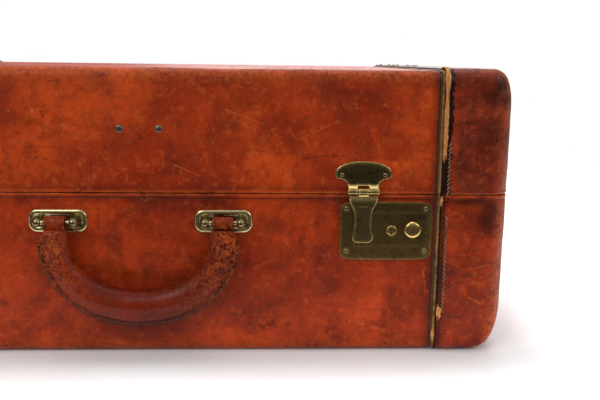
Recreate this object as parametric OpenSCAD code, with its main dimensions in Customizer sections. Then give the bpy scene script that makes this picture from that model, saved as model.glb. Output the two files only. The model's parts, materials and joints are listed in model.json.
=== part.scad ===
// Hard leather suitcase, lying on its underside with the lid on top.
// Frame: X across the width, front at -Y, hinges at +Y, Z up, origin at the middle of the underside.

/* [Case] */
// Width across the end caps
case_w = 560; // [500:1:640]
// Depth of the main panels, front to back
case_d = 380; // [340:1:440]
// Height of the lid's main panel above the surface the case lies on
case_h = 218.4; // [200:0.1:240]
// Height of the parting line between body and lid
part_z = 125.8; // [110:0.1:135]
// Gap between the closed body and lid
part_gap = 0.6; // [0.4:0.1:1]
// Thickness of the main panels' leather
leather_t = 2; // [1.5:0.1:2.5]
// Thickness of the board shell
board_t = 5; // [4:0.1:6]
// Thickness of the cloth lining on its card
lining_t = 1.2; // [0.8:0.1:1.5]

/* [End caps] */
// Distance from the middle to the seam beside each end cap
seam_x = 221.8; // [200:0.1:225]
// How far a cap stands proud of the main panels at the front, back and top
cap_proud = 2.3; // [1.5:0.1:3]
// Leather thickness over the end of the case
cap_end_t = 4; // [3:0.1:5]
// Width of the piped welt in the seam
welt_w = 3; // [2:0.1:4]
// How far the lid's end panel stands proud of the cap
lid_panel_t = 2.8; // [1:0.1:3]
// How far the body's end panel stands proud of the cap
body_panel_t = 1; // [0.6:0.1:2]

/* [Corner radii] */
// Radius of the body's lower end corners, seen from the front
body_end_r = 26; // [20:1:30]
// Radius of the lid's upper end corners, seen from the front
lid_end_r = 19; // [15:1:24]
// Radius along the lower front and back edges
body_edge_r = 10; // [8:1:12]
// Radius along the upper front and back edges
lid_edge_r = 6.5; // [5:0.5:8]
// Radius of the upright corners
plan_r = 18; // [14:1:22]

/* [Lock] */
// Width of the lock plate
lock_w = 70; // [66:1:72]
// Height of the lock plate
lock_h = 43.7; // [42:0.1:46]
// Middle of the lock plate from the middle of the case
lock_x = 184.4; // [180:0.1:185]
// Height of the lock plate's middle
lock_z = 97.9; // [94:0.1:99]
// How far the lock plate stands proud of the leather
lock_proud = 2.4; // [2:0.1:3]
// Travel of the knob
knob_travel = 4; // [3:0.1:4]
// Diameter of the knob
knob_d = 12.8; // [12:0.1:14]

/* [Hasp] */
// Middle of the hasp from the middle of the case
hasp_x = 166.5; // [165:0.1:168]
// Height of the hasp's hinge pin
hasp_pin_z = 128.4; // [128:0.1:130]
// Distance of the hasp's pin from the leather
hasp_pin_h = 3.6; // [3.4:0.1:4]
// Width of the hasp at its shoulders
hasp_w = 22; // [20:0.1:24]
// Height of the hasp's tip
hasp_tip_z = 89; // [86:0.1:92]

/* [Handle] */
// Distance of each handle plate from the middle of the case
handle_x = 61.5; // [60:0.1:63]
// Height of the handle's pivot
handle_z = 105.2; // [104:0.1:106]
// Distance of the handle's pivot from the leather
handle_h = 9.5; // [9:0.1:10]
// Lowest point of the grip's middle line
grip_low_z = 43; // [40:0.1:46]
// Half thickness of the grip at its middle
grip_mid_r = 12.3; // [11:0.1:13]
// Half width of the grip at its ends
grip_end_r = 8.6; // [8:0.1:9]

/* [Hinges] */
// Distance of each rear hinge from the middle of the case
hinge_x = 150; // [120:1:160]
// Length of each rear hinge
hinge_len = 64; // [50:1:70]
// Radius of the rear hinges' pins
hinge_pin_r = 1.3; // [1:0.1:1.5]

/* [Hidden] */
$fn = 48;
EPS = 0.01;

front_y = -case_d / 2;
back_y = case_d / 2;
half_w = case_w / 2;
body_top = part_z - part_gap / 2;
lid_bottom = part_z + part_gap / 2;
lid_rise = case_h - lid_bottom;

// Board shell, inside the leather
shell_hx = half_w - cap_end_t;
shell_hy = case_d / 2 - leather_t;
shell_plan_r = plan_r - cap_end_t;
inner_edge_r = 3;
cap_hy = case_d / 2 + cap_proud;
cap_top = case_h + cap_proud;
cap_edge_r = body_edge_r + 1.7;
welt_gap = 1.4;
welt_out = 1;
welt_lift = 0.3;
cap_x0 = seam_x + welt_gap + welt_w + 0.4;
in_hx = shell_hx - board_t - lining_t;
in_hy = shell_hy - board_t - lining_t;
floor_z = leather_t + board_t + lining_t;
ceiling_z = case_h - leather_t - board_t - lining_t;

// How far a cutter runs past the part that it cuts
cut_over = 10;

// End panels: their lowest and highest edges and their distance from the front and back
body_panel_z0 = 14;
body_panel_top_gap = 3;
body_panel_margin = 26;
lid_panel_z0 = 132;
lid_panel_z1 = 208;
lid_panel_margin = 22;
panel_x0 = half_w - 30;

// Lip that stands up from the body into the lid
lip_t = 2;
lip_gap = 0.6;
lip_rise = 8.2;
lip_depth = 21;

// Lock, in the right-hand lock's own place
plate_t = 1;
rivet_r = 1.5;
rivet_head_r = 2.7;
rivet_dx = 30.2;
rivet_dz = 16.5;
rivet_mid_z = lock_z + 0.9;
key_x = 188.7;
key_z = 98.5;
knob_x = 204.1;
knob_z = 99.7;
stem_r = 1.6;
bolt_z = 108.8;
bolt_h = 2.6;
staple_w = 3.4;
staple_h = 5.6;
case_x0 = 176;
case_x1 = 217;
case_z0 = 86;
case_z1 = 111.8;
case_deep = 5;
case_wall = 0.8;
lock_r = 6;
hollow_out = 6;
hollow_h = 26;
lock_head_r = 1.75;
slot_gap = 0.2;
key_hole_r = 1.5;
key_slit_w = 1.2;
key_slit_h = 4;
ring_r = 4;
ring_hole_r = 2.9;
ring_h = 0.8;

// Slider inside the lock: a block under the knob and a lug for the key lever
block_x0 = 198.5;
block_x1 = 209.5;
block_z0 = 94.5;
block_z1 = bolt_z + bolt_h / 2;
lug_w = 3;
lug_z0 = key_z + 4.6;
knob_gap = 0.3;
knob_seat_h = 4.6;

// Key lever: a hub with an arm
lever_back = 2.6;
lever_t = 2.1;
lever_hub_r = 3.1;
lever_hole_r = 1.2;
lever_arm = 6.8;
lever_arm_h = 2.2;
lever_tip_r = 1.5;

// Hasp
hasp_t = 1.6;
hasp_barrel_r = 2.5;
hasp_pin_r = 1.1;
hasp_mid_w = 8;
hasp_gap = 0.4;
crescent_w = 43.2;
crescent_z = 140.8;
crescent_top = 151;
crescent_t = 1.2;
crescent_edge = [1.5, 3];
crescent_neck_drop = 6.5;
hasp_rivet_dx = 16.2;
hasp_head_r = 1.8;
hasp_end_r = 8;
hasp_behind = 0.5;
staple_from = 0.4;

// Half widths of the hasp's tongue, each with its drop below the pin
hasp_profile = [
    [hasp_mid_w / 2, 0], [hasp_mid_w / 2, 3.4], [hasp_w / 2, 3.4], [hasp_w / 2 - 0.6, 7.5],
    [8, 12], [6.6, 17], [6.6, 23], [hasp_end_r, hasp_pin_z - hasp_tip_z - hasp_end_r]
];

// Handle plates and staples
hplate_w = 43.2;
hplate_h = 17.5;
hplate_t = 2.4;
hplate_z = handle_z - 0.4;
hplate_rim = 2.2;
hplate_r = 6.5;
hplate_dish = 0.9;
bar_r = 2;
ball_r = 3.7;
ball_dx = 13.2;
loop_w = 15.5;
loop_wall = 2.6;
loop_fit = 0.08;
tongue_back = 2;
tongue_drop = 1;
post_r = 2.2;
post_deep = 4;
grip_h = 13.5;
grip_flange = 4;
grip_top_z = 97;
grip_power = 2.2;

// Rear hinges
hinge_h = 3.4;
knuckle_r = 3;
knuckles = 5;
leaf_t = 1.5;
leaf_long = 28;
pin_fit = 0.05;
knuckle_len = hinge_len / knuckles;
knuckle_gap = 0.3;
leaf_rivets = [-24, -8, 8, 24];
leaf_rivet_z = leaf_long / 2 + 3;

// Packing straps and their buckles
strap_x = 120;
strap_w = 32;
strap_t = 2.5;
strap_end_gap = 4;
buckle_y = -70;
buckle_w = 42;
buckle_long = 28;
buckle_t = 3;

// Pocket and keeper inside the lid
pocket_hx = 225;
pocket_hy = 104;
pocket_y = 62;
pocket_t = 12;
keeper_hx = 24.4;
keeper_hy = 7;
keeper_t = 2;

// Dome rivets on the lid
dome_x = 14.4;
dome_z = 173.9;
dome_r = 3.5;

// ---- Helpers ----

// Mirrors its children to the left when side is -1
module on_side(side) {
    if (side < 0) mirror([1, 0, 0]) children();
    else children();
}

module both_sides() {
    for (side = [-1, 1]) on_side(side) children();
}

// Draws an outline (x, z) on the front, from h0 to h0 + t outward from the leather
module on_front(h0, t) {
    translate([0, front_y - h0, 0])
        rotate([90, 0, 0])
            linear_extrude(t) children();
}

// A cylinder that stands out from the front at (x, z)
module front_peg(x, z, h0, t, r) {
    translate([x, front_y - h0, z])
        rotate([90, 0, 0])
            cylinder(h = t, r = r);
}

// A cylinder along X, centred on x
module x_rod(x, y, z, len, r) {
    translate([x, y, z])
        rotate([0, 90, 0])
            cylinder(h = len, r = r, center = true);
}

module rounded_rect(hx, hy, r) {
    square([2 * hx, 2 * (hy - r)], center = true);
    square([2 * (hx - r), 2 * hy], center = true);
    for (sx = [-1, 1], sy = [-1, 1])
        translate([sx * (hx - r), sy * (hy - r)]) circle(r);
}

// Section of a tray: closed below with corner radius r, open at the top at height h
module tray_section(half, h, r) {
    translate([-half, r]) square([2 * half, h - r]);
    translate([-(half - r), 0]) square([2 * (half - r), r + EPS]);
    for (s = [-1, 1])
        translate([s * (half - r), r]) circle(r);
}

// A solid tray with its closed side at z = 0
module tray(hx, hy, h, r_end, r_edge, r_plan) {
    intersection() {
        rotate([90, 0, 0])
            linear_extrude(2 * hy + 2, center = true) tray_section(hx, h, r_end);
        rotate([90, 0, 90])
            linear_extrude(2 * hx + 2, center = true) tray_section(hy, h, r_edge);
        linear_extrude(h) rounded_rect(hx, hy, r_plan);
    }
}

// Turns a tray over, so that its closed side is at z = top
module lid_down(top) {
    translate([0, 0, top]) mirror([0, 0, 1]) children();
}

// Outside of the body's board shell, over its top by the given height
module body_shell_solid(over = 0) {
    translate([0, 0, leather_t])
        tray(shell_hx, shell_hy, body_top - leather_t + over, body_end_r - cap_end_t,
            body_edge_r - leather_t, shell_plan_r);
}

module lid_shell_solid() {
    lid_down(case_h - leather_t)
        tray(shell_hx, shell_hy, case_h - leather_t - lid_bottom, lid_end_r - cap_end_t,
            lid_edge_r - leather_t, shell_plan_r);
}

// Leather around the front, the closed side and the back, as a section (y, z)
module wrap_section(h, out, edge_r) {
    difference() {
        translate([0, -out]) tray_section(case_d / 2 + out, h + out, edge_r + out);
        translate([0, leather_t]) tray_section(shell_hy, h, edge_r - leather_t);
    }
}

module along_x(len) {
    rotate([90, 0, 90]) linear_extrude(len, center = true) children();
}

// Half space beyond the seam on one side
module end_block(side, x0) {
    on_side(side)
        translate([x0, -case_d, -20]) cube([half_w, 2 * case_d, case_h + 60]);
}

// ---- Body ----

module lock_case_block() {
    translate([case_x0, front_y, case_z0])
        cube([case_x1 - case_x0, case_deep, case_z1 - case_z0]);
}

module lock_case_cut() {
    both_sides()
        translate([case_x0, front_y - 2, case_z0])
            cube([case_x1 - case_x0, case_deep + 2, case_z1 - case_z0]);
}

module body_shell() {
    color("burlywood")
        difference() {
            body_shell_solid();
            body_shell_inner(board_t);
            lock_case_cut();
        }
}

// The space inside the body, t in from the shell's outside
module body_shell_inner(t) {
    translate([0, 0, leather_t + t])
        tray(shell_hx - t, shell_hy - t, body_top, body_end_r - cap_end_t - t, inner_edge_r,
            shell_plan_r - t);
}

module body_lining() {
    color("tan")
        intersection() {
            difference() {
                body_shell_inner(board_t);
                body_shell_inner(board_t + lining_t);
            }
            translate([-half_w, -case_d, 0]) cube([case_w, 2 * case_d, body_top]);
        }
}

module body_leather() {
    color("sienna")
        difference() {
            along_x(2 * seam_x) wrap_section(body_top, 0, body_edge_r);
            lock_case_cut();
        }
}

module body_cap_outer() {
    tray(half_w, cap_hy, body_top, body_end_r, cap_edge_r, plan_r);
}

module body_end_cap(side) {
    color("saddlebrown")
        intersection() {
            difference() {
                body_cap_outer();
                body_shell_solid(cut_over);
            }
            end_block(side, cap_x0);
        }
}

module body_welts() {
    color("peru")
        both_sides()
            translate([seam_x + welt_gap + welt_w / 2, 0, 0])
                intersection() {
                    along_x(welt_w) wrap_section(body_top, welt_out, body_edge_r);
                    translate([0, 0, case_h / 2 + welt_lift])
                        cube([2 * welt_w, 2 * case_d, case_h], center = true);
                }
}

// Curved sheet over the ends of a tray of height h, t thick and clear of its corners
module end_sheet(h, end_r, t, margin_y) {
    rotate([90, 0, 0])
        linear_extrude(case_d - 2 * margin_y, center = true)
            difference() {
                tray_section(half_w + t, h, end_r + t);
                tray_section(half_w, h + 1, end_r);
            }
}

module body_end_panels() {
    color("sienna")
        both_sides()
            intersection() {
                end_sheet(body_top, body_end_r, body_panel_t, body_panel_margin);
                translate([panel_x0, -case_d, body_panel_z0])
                    cube([half_w, 2 * case_d, body_top - body_panel_top_gap - body_panel_z0]);
            }
}

module body_rim() {
    color("wheat")
        union() {
            translate([0, 0, body_top - lip_depth])
                linear_extrude(lip_depth) lip_ring(0);
            translate([0, 0, body_top - EPS])
                linear_extrude(lip_rise + EPS) lip_ring(lip_gap);
        }
}

module lip_ring(gap) {
    inner_r = shell_plan_r - board_t - lining_t;
    difference() {
        rounded_rect(in_hx - gap, in_hy - gap, inner_r - gap);
        rounded_rect(in_hx - lip_t, in_hy - lip_t, inner_r - lip_t);
    }
}

module packing_straps() {
    color("saddlebrown")
        both_sides()
            translate([strap_x - strap_w / 2, -in_hy + strap_end_gap, floor_z])
                cube([strap_w, 2 * (in_hy - strap_end_gap), strap_t]);
}

module strap_buckles() {
    bar = 3.5;
    color("goldenrod")
        both_sides()
            translate([strap_x, buckle_y, floor_z + strap_t])
                linear_extrude(buckle_t)
                    difference() {
                        rounded_rect(buckle_w / 2, buckle_long / 2, 4);
                        for (s = [-1, 1])
                            translate([0, s * (buckle_long - bar) / 4])
                                square([buckle_w - 2 * bar, (buckle_long - 3 * bar) / 2],
                                    center = true);
                    }
}

// ---- Rear hinges ----

// One leaf, drawn below the pin; own says which knuckles it has
module hinge_leaf(own, bore_r) {
    axis_y = back_y + hinge_h;
    tab_gap = 0.6;
    difference() {
        union() {
            translate([-hinge_len / 2, back_y, -leaf_long])
                cube([hinge_len, leaf_t, leaf_long - knuckle_r - tab_gap]);
            for (k = own) {
                middle = -hinge_len / 2 + (k + 0.5) * knuckle_len;
                own_len = knuckle_len - knuckle_gap;
                translate([middle - own_len / 2, back_y, -leaf_long / 2])
                    cube([own_len, leaf_t, leaf_long / 2]);
                x_rod(middle, axis_y, 0, own_len, knuckle_r);
            }
        }
        x_rod(0, axis_y, 0, hinge_len + 2, bore_r);
        for (x = leaf_rivets)
            translate([x, back_y - 1, -leaf_rivet_z])
                rotate([-90, 0, 0]) cylinder(h = leaf_t + 2, r = rivet_r);
    }
}

module hinge_leaf_body(side) {
    color("darkgoldenrod")
        translate([side * hinge_x, 0, part_z]) hinge_leaf([0, 2, 4], hinge_pin_r);
}

module hinge_leaf_lid(side) {
    color("darkgoldenrod")
        translate([side * hinge_x, 0, part_z])
            mirror([0, 0, 1]) hinge_leaf([1, 3], hinge_pin_r + pin_fit);
}

module hinge_pin(side) {
    color("gold")
        x_rod(side * hinge_x, back_y + hinge_h, part_z, hinge_len + 1.6, hinge_pin_r);
}

// Rivets of one kind of leaf; up is -1 for the body's leaves and 1 for the lid's
module hinge_rivets(up) {
    shank = leaf_t + leather_t + board_t - 1;
    head_h = 1.1;
    head_slope = 0.9;
    color("gold")
        for (side = [-1, 1], x = leaf_rivets)
            translate([side * hinge_x + x, back_y + leaf_t, part_z + up * leaf_rivet_z])
                rotate([-90, 0, 0]) {
                    cylinder(h = head_h, r1 = rivet_head_r, r2 = rivet_head_r - head_slope);
                    translate([0, 0, -shank]) cylinder(h = shank + EPS, r = rivet_r);
                }
}

// ---- Handle ----

module handle_plate(side) {
    color("darkgoldenrod")
        difference() {
            on_front(0, hplate_t)
                translate([side * handle_x, hplate_z])
                    rounded_rect(hplate_w / 2, hplate_h / 2, hplate_r);
            on_front(hplate_t - hplate_dish, 2)
                translate([side * handle_x, hplate_z])
                    rounded_rect(hplate_w / 2 - hplate_rim, hplate_h / 2 - hplate_rim,
                        hplate_r - hplate_rim);
            for (s = [-1, 1])
                front_peg(side * handle_x + s * ball_dx, handle_z, -1, 5, post_r);
        }
}

// Two posts with ball heads and the bar between them, on which the handle turns
module handle_staple(side) {
    color("gold")
        union() {
            for (s = [-1, 1]) {
                front_peg(side * handle_x + s * ball_dx, handle_z, -post_deep,
                    post_deep + handle_h, post_r);
                translate([side * handle_x + s * ball_dx, front_y - handle_h, handle_z])
                    sphere(r = ball_r);
            }
            x_rod(side * handle_x, front_y - handle_h, handle_z, 2 * ball_dx, bar_r);
        }
}

// Middle line of the grip: u runs from 0 at the right leg to 1 at the left one
function signed_pow(v, p) = (v < 0 ? -1 : 1) * pow(abs(v), p);
function grip_mid(u) = [
    (handle_x - 0.5) * signed_pow(cos(180 * u), 2 / grip_power),
    grip_top_z - (grip_top_z - grip_low_z) * signed_pow(sin(180 * u), 2 / grip_power)
];
function unit(v) = v / norm(v);
function grip_dir(u) = unit(grip_mid(min(u + 0.004, 1)) - grip_mid(max(u - 0.004, 0)));
function grip_r(u) = grip_end_r + (grip_mid_r - grip_end_r) * pow(sin(180 * u), 1.4);

// One ring of the grip: k steps round the section, with the stitched flange on the outer side
GRIP_RINGS = 48;
GRIP_SIDES = 24;
function flange(a) = grip_flange * max(0, 1 - abs(a > 180 ? a - 360 : a) / 16);
function grip_ring(u, k) =
    let (m = grip_mid(u), d = grip_dir(u), a = 360 * k / GRIP_SIDES, r = grip_r(u),
        out = r * cos(a) + flange(a), side = 0.86 * r * sin(a))
    [m[0] + d[1] * out, front_y - grip_h - side, m[1] - d[0] * out];

module ring_sweep(points, rings, sides) {
    walls = [for (i = [0:rings - 2], k = [0:sides - 1])
        [i * sides + k, i * sides + (k + 1) % sides, (i + 1) * sides + (k + 1) % sides,
            (i + 1) * sides + k]];
    first = [[for (k = [0:sides - 1]) sides - 1 - k]];
    last = [[for (k = [0:sides - 1]) (rings - 1) * sides + k]];
    polyhedron(points = points, faces = concat(walls, first, last));
}

module handle_grip() {
    points = [for (i = [0:GRIP_RINGS - 1], k = [0:GRIP_SIDES - 1])
        grip_ring(i / (GRIP_RINGS - 1), k)];
    color("brown")
        ring_sweep(points, GRIP_RINGS, GRIP_SIDES);
}

// Steel wire that runs through the grip
module handle_core() {
    rings = 40;
    sides = 8;
    core_r = 2.4;
    points = [for (i = [0:rings - 1], k = [0:sides - 1])
        let (u = 0.01 + 0.98 * i / (rings - 1), m = grip_mid(u), d = grip_dir(u), a = 360 * k / sides)
        [m[0] + d[1] * core_r * cos(a), front_y - grip_h - core_r * sin(a),
            m[1] - d[0] * core_r * cos(a)]];
    color("gray")
        ring_sweep(points, rings, sides);
}

// Leather loops round the bars, with a tongue that runs down into the grip
module handle_loops() {
    outer_r = bar_r + loop_fit + loop_wall;
    color("chocolate")
        both_sides()
            difference() {
                union() {
                    x_rod(handle_x, front_y - handle_h, handle_z, loop_w, outer_r);
                    translate([handle_x - loop_w / 2, front_y - handle_h - outer_r,
                        grip_top_z - tongue_drop])
                        cube([loop_w, outer_r + tongue_back, handle_z - grip_top_z + tongue_drop]);
                }
                x_rod(handle_x, front_y - handle_h, handle_z, loop_w + 2, bar_r + loop_fit);
            }
}

// ---- Locks, drawn for the right-hand side ----

module staple_notch() {
    notch_w = staple_w + 1;
    notch_z = bolt_z - staple_h / 2 - 0.6;
    translate([hasp_x - notch_w / 2, notch_z]) square([notch_w, lock_h]);
}

module lock_plate(side) {
    color("darkolivegreen")
        on_side(side)
            difference() {
                on_front(0, lock_proud)
                    translate([lock_x, lock_z]) rounded_rect(lock_w / 2, lock_h / 2, lock_r);
                // hollow behind the plate for the bolt
                on_front(-1, 1 + lock_proud - plate_t)
                    translate([hasp_x - hollow_out, case_z0])
                        square([case_x1 - hasp_x + hollow_out - 0.6, hollow_h]);
                on_front(-1, lock_proud + 2) staple_notch();
                // slot for the knob's stem
                on_front(-1, lock_proud + 2)
                    translate([knob_x - stem_r - slot_gap, knob_z - stem_r - slot_gap])
                        square([knob_travel + 2 * (stem_r + slot_gap), 2 * (stem_r + slot_gap)]);
                front_peg(key_x, key_z, -1, lock_proud + 2, key_hole_r);
                on_front(-1, lock_proud + 2)
                    translate([key_x - key_slit_w / 2, key_z - key_slit_h])
                        square([key_slit_w, key_slit_h]);
                for (sx = [-1, 1], sz = [-1, 1])
                    front_peg(lock_x + sx * rivet_dx, rivet_mid_z + sz * rivet_dz, -1,
                        lock_proud + 2, rivet_r);
            }
}

module lock_plate_rivets() {
    shank = lock_proud + leather_t + board_t - 1;
    color("khaki")
        both_sides()
            for (sx = [-1, 1], sz = [-1, 1])
                dome_rivet(lock_x + sx * rivet_dx, rivet_mid_z + sz * rivet_dz, lock_proud, shank,
                    lock_head_r);
}

// Low domed head on a shank that reaches back from h0 by the given length
module dome_rivet(x, z, h0, shank, head_r) {
    dome_h = 0.45 * head_r;
    ball = (head_r * head_r + dome_h * dome_h) / (2 * dome_h);
    translate([x, front_y - h0, z])
        rotate([90, 0, 0]) {
            intersection() {
                translate([0, 0, dome_h - ball]) sphere(r = ball);
                cylinder(h = dome_h + 1, r = head_r);
            }
            translate([0, 0, -shank]) cylinder(h = shank + EPS, r = rivet_r);
        }
}

module lock_case(side) {
    color("silver")
        on_side(side)
            difference() {
                lock_case_block();
                translate([case_x0 + case_wall, front_y - 1, case_z0 + case_wall])
                    cube([case_x1 - case_x0 - 2 * case_wall, case_deep + 1 - case_wall,
                        case_z1 - case_z0 - 2 * case_wall]);
            }
}

module key_escutcheon(side) {
    color("gold")
        on_side(side)
            difference() {
                front_peg(key_x, key_z, lock_proud, ring_h, ring_r);
                front_peg(key_x, key_z, lock_proud - 1, ring_h + 2, ring_hole_r);
            }
}

// Slider with its bolt towards the hasp, a lug for the key lever and the knob's stem
module lock_slider(side) {
    arm_h0 = 0.3;
    arm_t = 0.8;
    lug_x = key_x - 3.4;
    deep = 2.9;
    bolt_tip = hasp_x + staple_w / 2 + 0.4;
    color("silver")
        on_side(side) {
            on_front(arm_h0, arm_t)
                translate([bolt_tip, bolt_z - bolt_h / 2]) square([block_x1 - bolt_tip, bolt_h]);
            on_front(-deep, deep + arm_h0 + arm_t)
                translate([lug_x, lug_z0]) square([lug_w, block_z1 - lug_z0]);
            on_front(-deep, deep + arm_h0 + arm_t)
                translate([block_x0, block_z0]) square([block_x1 - block_x0, block_z1 - block_z0]);
            front_peg(knob_x, knob_z, 0, lock_proud + knob_seat_h, stem_r);
        }
}

module lock_knob(side) {
    neck_h = 1.5;
    rim_h = 3;
    face_h = 1;
    face_slope = 1.4;
    neck_r = knob_d / 2 - 0.5;
    color("gold")
        on_side(side)
            translate([knob_x, front_y - lock_proud - knob_gap, knob_z])
                rotate([90, 0, 0])
                    difference() {
                        union() {
                            cylinder(h = neck_h + EPS, r = neck_r);
                            translate([0, 0, neck_h]) cylinder(h = rim_h, r = knob_d / 2);
                            translate([0, 0, neck_h + rim_h])
                                cylinder(h = face_h, r1 = knob_d / 2, r2 = knob_d / 2 - face_slope);
                        }
                        translate([0, 0, -1])
                            cylinder(h = 1 + knob_seat_h - knob_gap, r = stem_r);
                    }
}

// Return spring between the slider and the lock case's wall
module lock_spring(side) {
    turns = 7;
    steps = 10;
    sides = 6;
    wire_r = 0.3;
    coil_r = 1.3;
    x0 = block_x1 + 0.1 + wire_r;
    x1 = case_x1 - case_wall - 0.1 - wire_r;
    count = turns * steps + 1;
    points = [for (i = [0:count - 1], k = [0:sides - 1])
        let (a = 360 * i / steps, b = 360 * k / sides, r = coil_r + wire_r * cos(b))
        [x0 + (x1 - x0) * i / (count - 1) + wire_r * sin(b), front_y + 1.9 + r * cos(a),
            knob_z + r * sin(a)]];
    color("lightgray")
        on_side(side) ring_sweep(points, count, sides);
}

module lock_lever(side) {
    color("silver")
        on_side(side)
            difference() {
                union() {
                    front_peg(key_x, key_z, -lever_back, lever_t, lever_hub_r);
                    on_front(-lever_back, lever_t)
                        translate([key_x, key_z - lever_arm_h / 2]) square([lever_arm, lever_arm_h]);
                    front_peg(key_x + lever_arm, key_z, -lever_back, lever_t, lever_tip_r);
                }
                front_peg(key_x, key_z, -lever_back - 1, lever_t + 2, lever_hole_r);
            }
}

// ---- Hasps, drawn for the right-hand side ----

module hasp_plate(side) {
    neck_z = hasp_pin_z + hasp_barrel_r;
    wide_r = crescent_w / 2;
    rise = crescent_top - crescent_z;
    arc_r = (wide_r * wide_r + rise * rise) / (2 * rise);
    lower = [
        [wide_r, crescent_z], [wide_r - crescent_edge[0], crescent_z - crescent_edge[1]],
        [hasp_w / 2, crescent_z - crescent_neck_drop], [hasp_w / 2, neck_z]
    ];
    color("darkolivegreen")
        on_side(side)
            difference() {
                union() {
                    on_front(0, crescent_t) {
                        // upper arc of the crescent
                        intersection() {
                            translate([hasp_x, crescent_top - arc_r]) circle(arc_r);
                            translate([hasp_x - wide_r, crescent_z - 0.5])
                                square([2 * wide_r, rise + 1]);
                        }
                        polygon([
                            for (s = [-1, 1], k = [0:3])
                                let (point = lower[s < 0 ? k : 3 - k])
                                [hasp_x + s * point[0], point[1]]
                        ]);
                    }
                    for (s = [-1, 1])
                        hasp_knuckle_side(s);
                }
                x_rod(hasp_x, front_y - hasp_pin_h, hasp_pin_z, hasp_w + 2, hasp_pin_r);
                for (s = [-1, 1])
                    front_peg(hasp_x + s * hasp_rivet_dx, crescent_z, -1, 4, rivet_r);
            }
}

// Outer knuckle of the hasp plate with the strap that joins it to the plate
module hasp_knuckle_side(s) {
    len = (hasp_w - hasp_mid_w) / 2 - hasp_gap;
    x = hasp_x + s * (hasp_w / 2 - len / 2);
    x_rod(x, front_y - hasp_pin_h, hasp_pin_z, len, hasp_barrel_r);
    on_front(0, crescent_t + 1)
        translate([x - len / 2, hasp_pin_z + 0.5]) square([len, hasp_barrel_r + 0.5]);
}

module hasp_plate_rivets() {
    shank = crescent_t + leather_t + board_t - 1;
    color("khaki")
        both_sides()
            for (s = [-1, 1])
                dome_rivet(hasp_x + s * hasp_rivet_dx, crescent_z, crescent_t, shank, hasp_head_r);
}

module hasp_pin(side) {
    color("gold")
        on_side(side)
            x_rod(hasp_x, front_y - hasp_pin_h, hasp_pin_z, hasp_w, hasp_pin_r);
}

module hasp_outline() {
    last = len(hasp_profile) - 1;
    polygon([
        for (s = [-1, 1], k = [0:last])
            let (point = hasp_profile[s < 0 ? k : last - k])
            [hasp_x + s * point[0], hasp_pin_z - point[1]]
    ]);
    translate([hasp_x, hasp_tip_z + hasp_end_r]) circle(hasp_end_r);
}

module hasp(side) {
    back_h = lock_proud + hasp_behind;
    color("olive")
        on_side(side)
            difference() {
                union() {
                    on_front(back_h, hasp_t) hasp_outline();
                    x_rod(hasp_x, front_y - hasp_pin_h, hasp_pin_z, hasp_mid_w, hasp_barrel_r);
                    // staple that the bolt catches
                    on_front(staple_from, back_h)
                        translate([hasp_x - staple_w / 2, bolt_z - staple_h / 2])
                            square([staple_w, staple_h]);
                }
                x_rod(hasp_x, front_y - hasp_pin_h, hasp_pin_z, hasp_w, hasp_pin_r + 0.05);
                // eye through the staple
                on_front(0.6, 1)
                    translate([hasp_x - staple_w, bolt_z - bolt_h / 2 - 0.3])
                        square([2 * staple_w, bolt_h + 0.6]);
            }
}

// ---- Lid ----

module lid_shell() {
    color("burlywood")
        difference() {
            lid_shell_solid();
            lid_shell_inner(board_t);
        }
}

module lid_shell_inner(t) {
    lid_down(case_h - leather_t - t)
        tray(shell_hx - t, shell_hy - t, case_h - leather_t - t - lid_bottom + 5,
            lid_end_r - cap_end_t - t, inner_edge_r, shell_plan_r - t);
}

module lid_lining() {
    color("tan")
        intersection() {
            difference() {
                lid_shell_inner(board_t);
                lid_shell_inner(board_t + lining_t);
            }
            translate([-half_w, -case_d, lid_bottom]) cube([case_w, 2 * case_d, case_h]);
        }
}

module lid_leather() {
    color("sienna")
        lid_down(case_h)
            along_x(2 * seam_x) wrap_section(lid_rise, 0, lid_edge_r);
}

module lid_cap_outer() {
    lid_down(cap_top)
        tray(half_w, cap_hy, cap_top - lid_bottom, lid_end_r, lid_edge_r + cap_proud, plan_r);
}

module lid_end_cap(side) {
    color("saddlebrown")
        intersection() {
            difference() {
                lid_cap_outer();
                lid_shell_solid();
            }
            end_block(side, cap_x0);
        }
}

module lid_welts() {
    color("peru")
        both_sides()
            translate([seam_x + welt_gap + welt_w / 2, 0, 0])
                lid_down(case_h)
                    along_x(welt_w) wrap_section(lid_rise, welt_out, lid_edge_r);
}

module lid_end_panels() {
    color("sienna")
        both_sides()
            intersection() {
                lid_down(cap_top)
                    end_sheet(cap_top - lid_bottom, lid_end_r, lid_panel_t, lid_panel_margin);
                translate([panel_x0, -case_d, lid_panel_z0])
                    cube([half_w, 2 * case_d, lid_panel_z1 - lid_panel_z0]);
            }
}

// Flat gathered pocket against the lid's lining
module lid_pocket() {
    corner_r = 12;
    color("tan")
        translate([0, pocket_y, ceiling_z - pocket_t])
            linear_extrude(pocket_t) rounded_rect(pocket_hx, pocket_hy, corner_r);
}

module lid_rivets() {
    shank = leather_t + board_t + lining_t + 3;
    color("dimgray")
        for (s = [-1, 1])
            dome_rivet(s * dome_x, dome_z, 0, shank, dome_r);
}

// Leather keeper inside the lid, held by the two dome rivets
module lid_keeper() {
    corner_r = 5;
    color("saddlebrown")
        translate([0, -in_hy, dome_z])
            rotate([-90, 0, 0])
                linear_extrude(keeper_t)
                    difference() {
                        rounded_rect(keeper_hx, keeper_hy, corner_r);
                        for (s = [-1, 1])
                            translate([s * dome_x, 0]) circle(rivet_r);
                    }
}

// ---- Assembly ----

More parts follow.
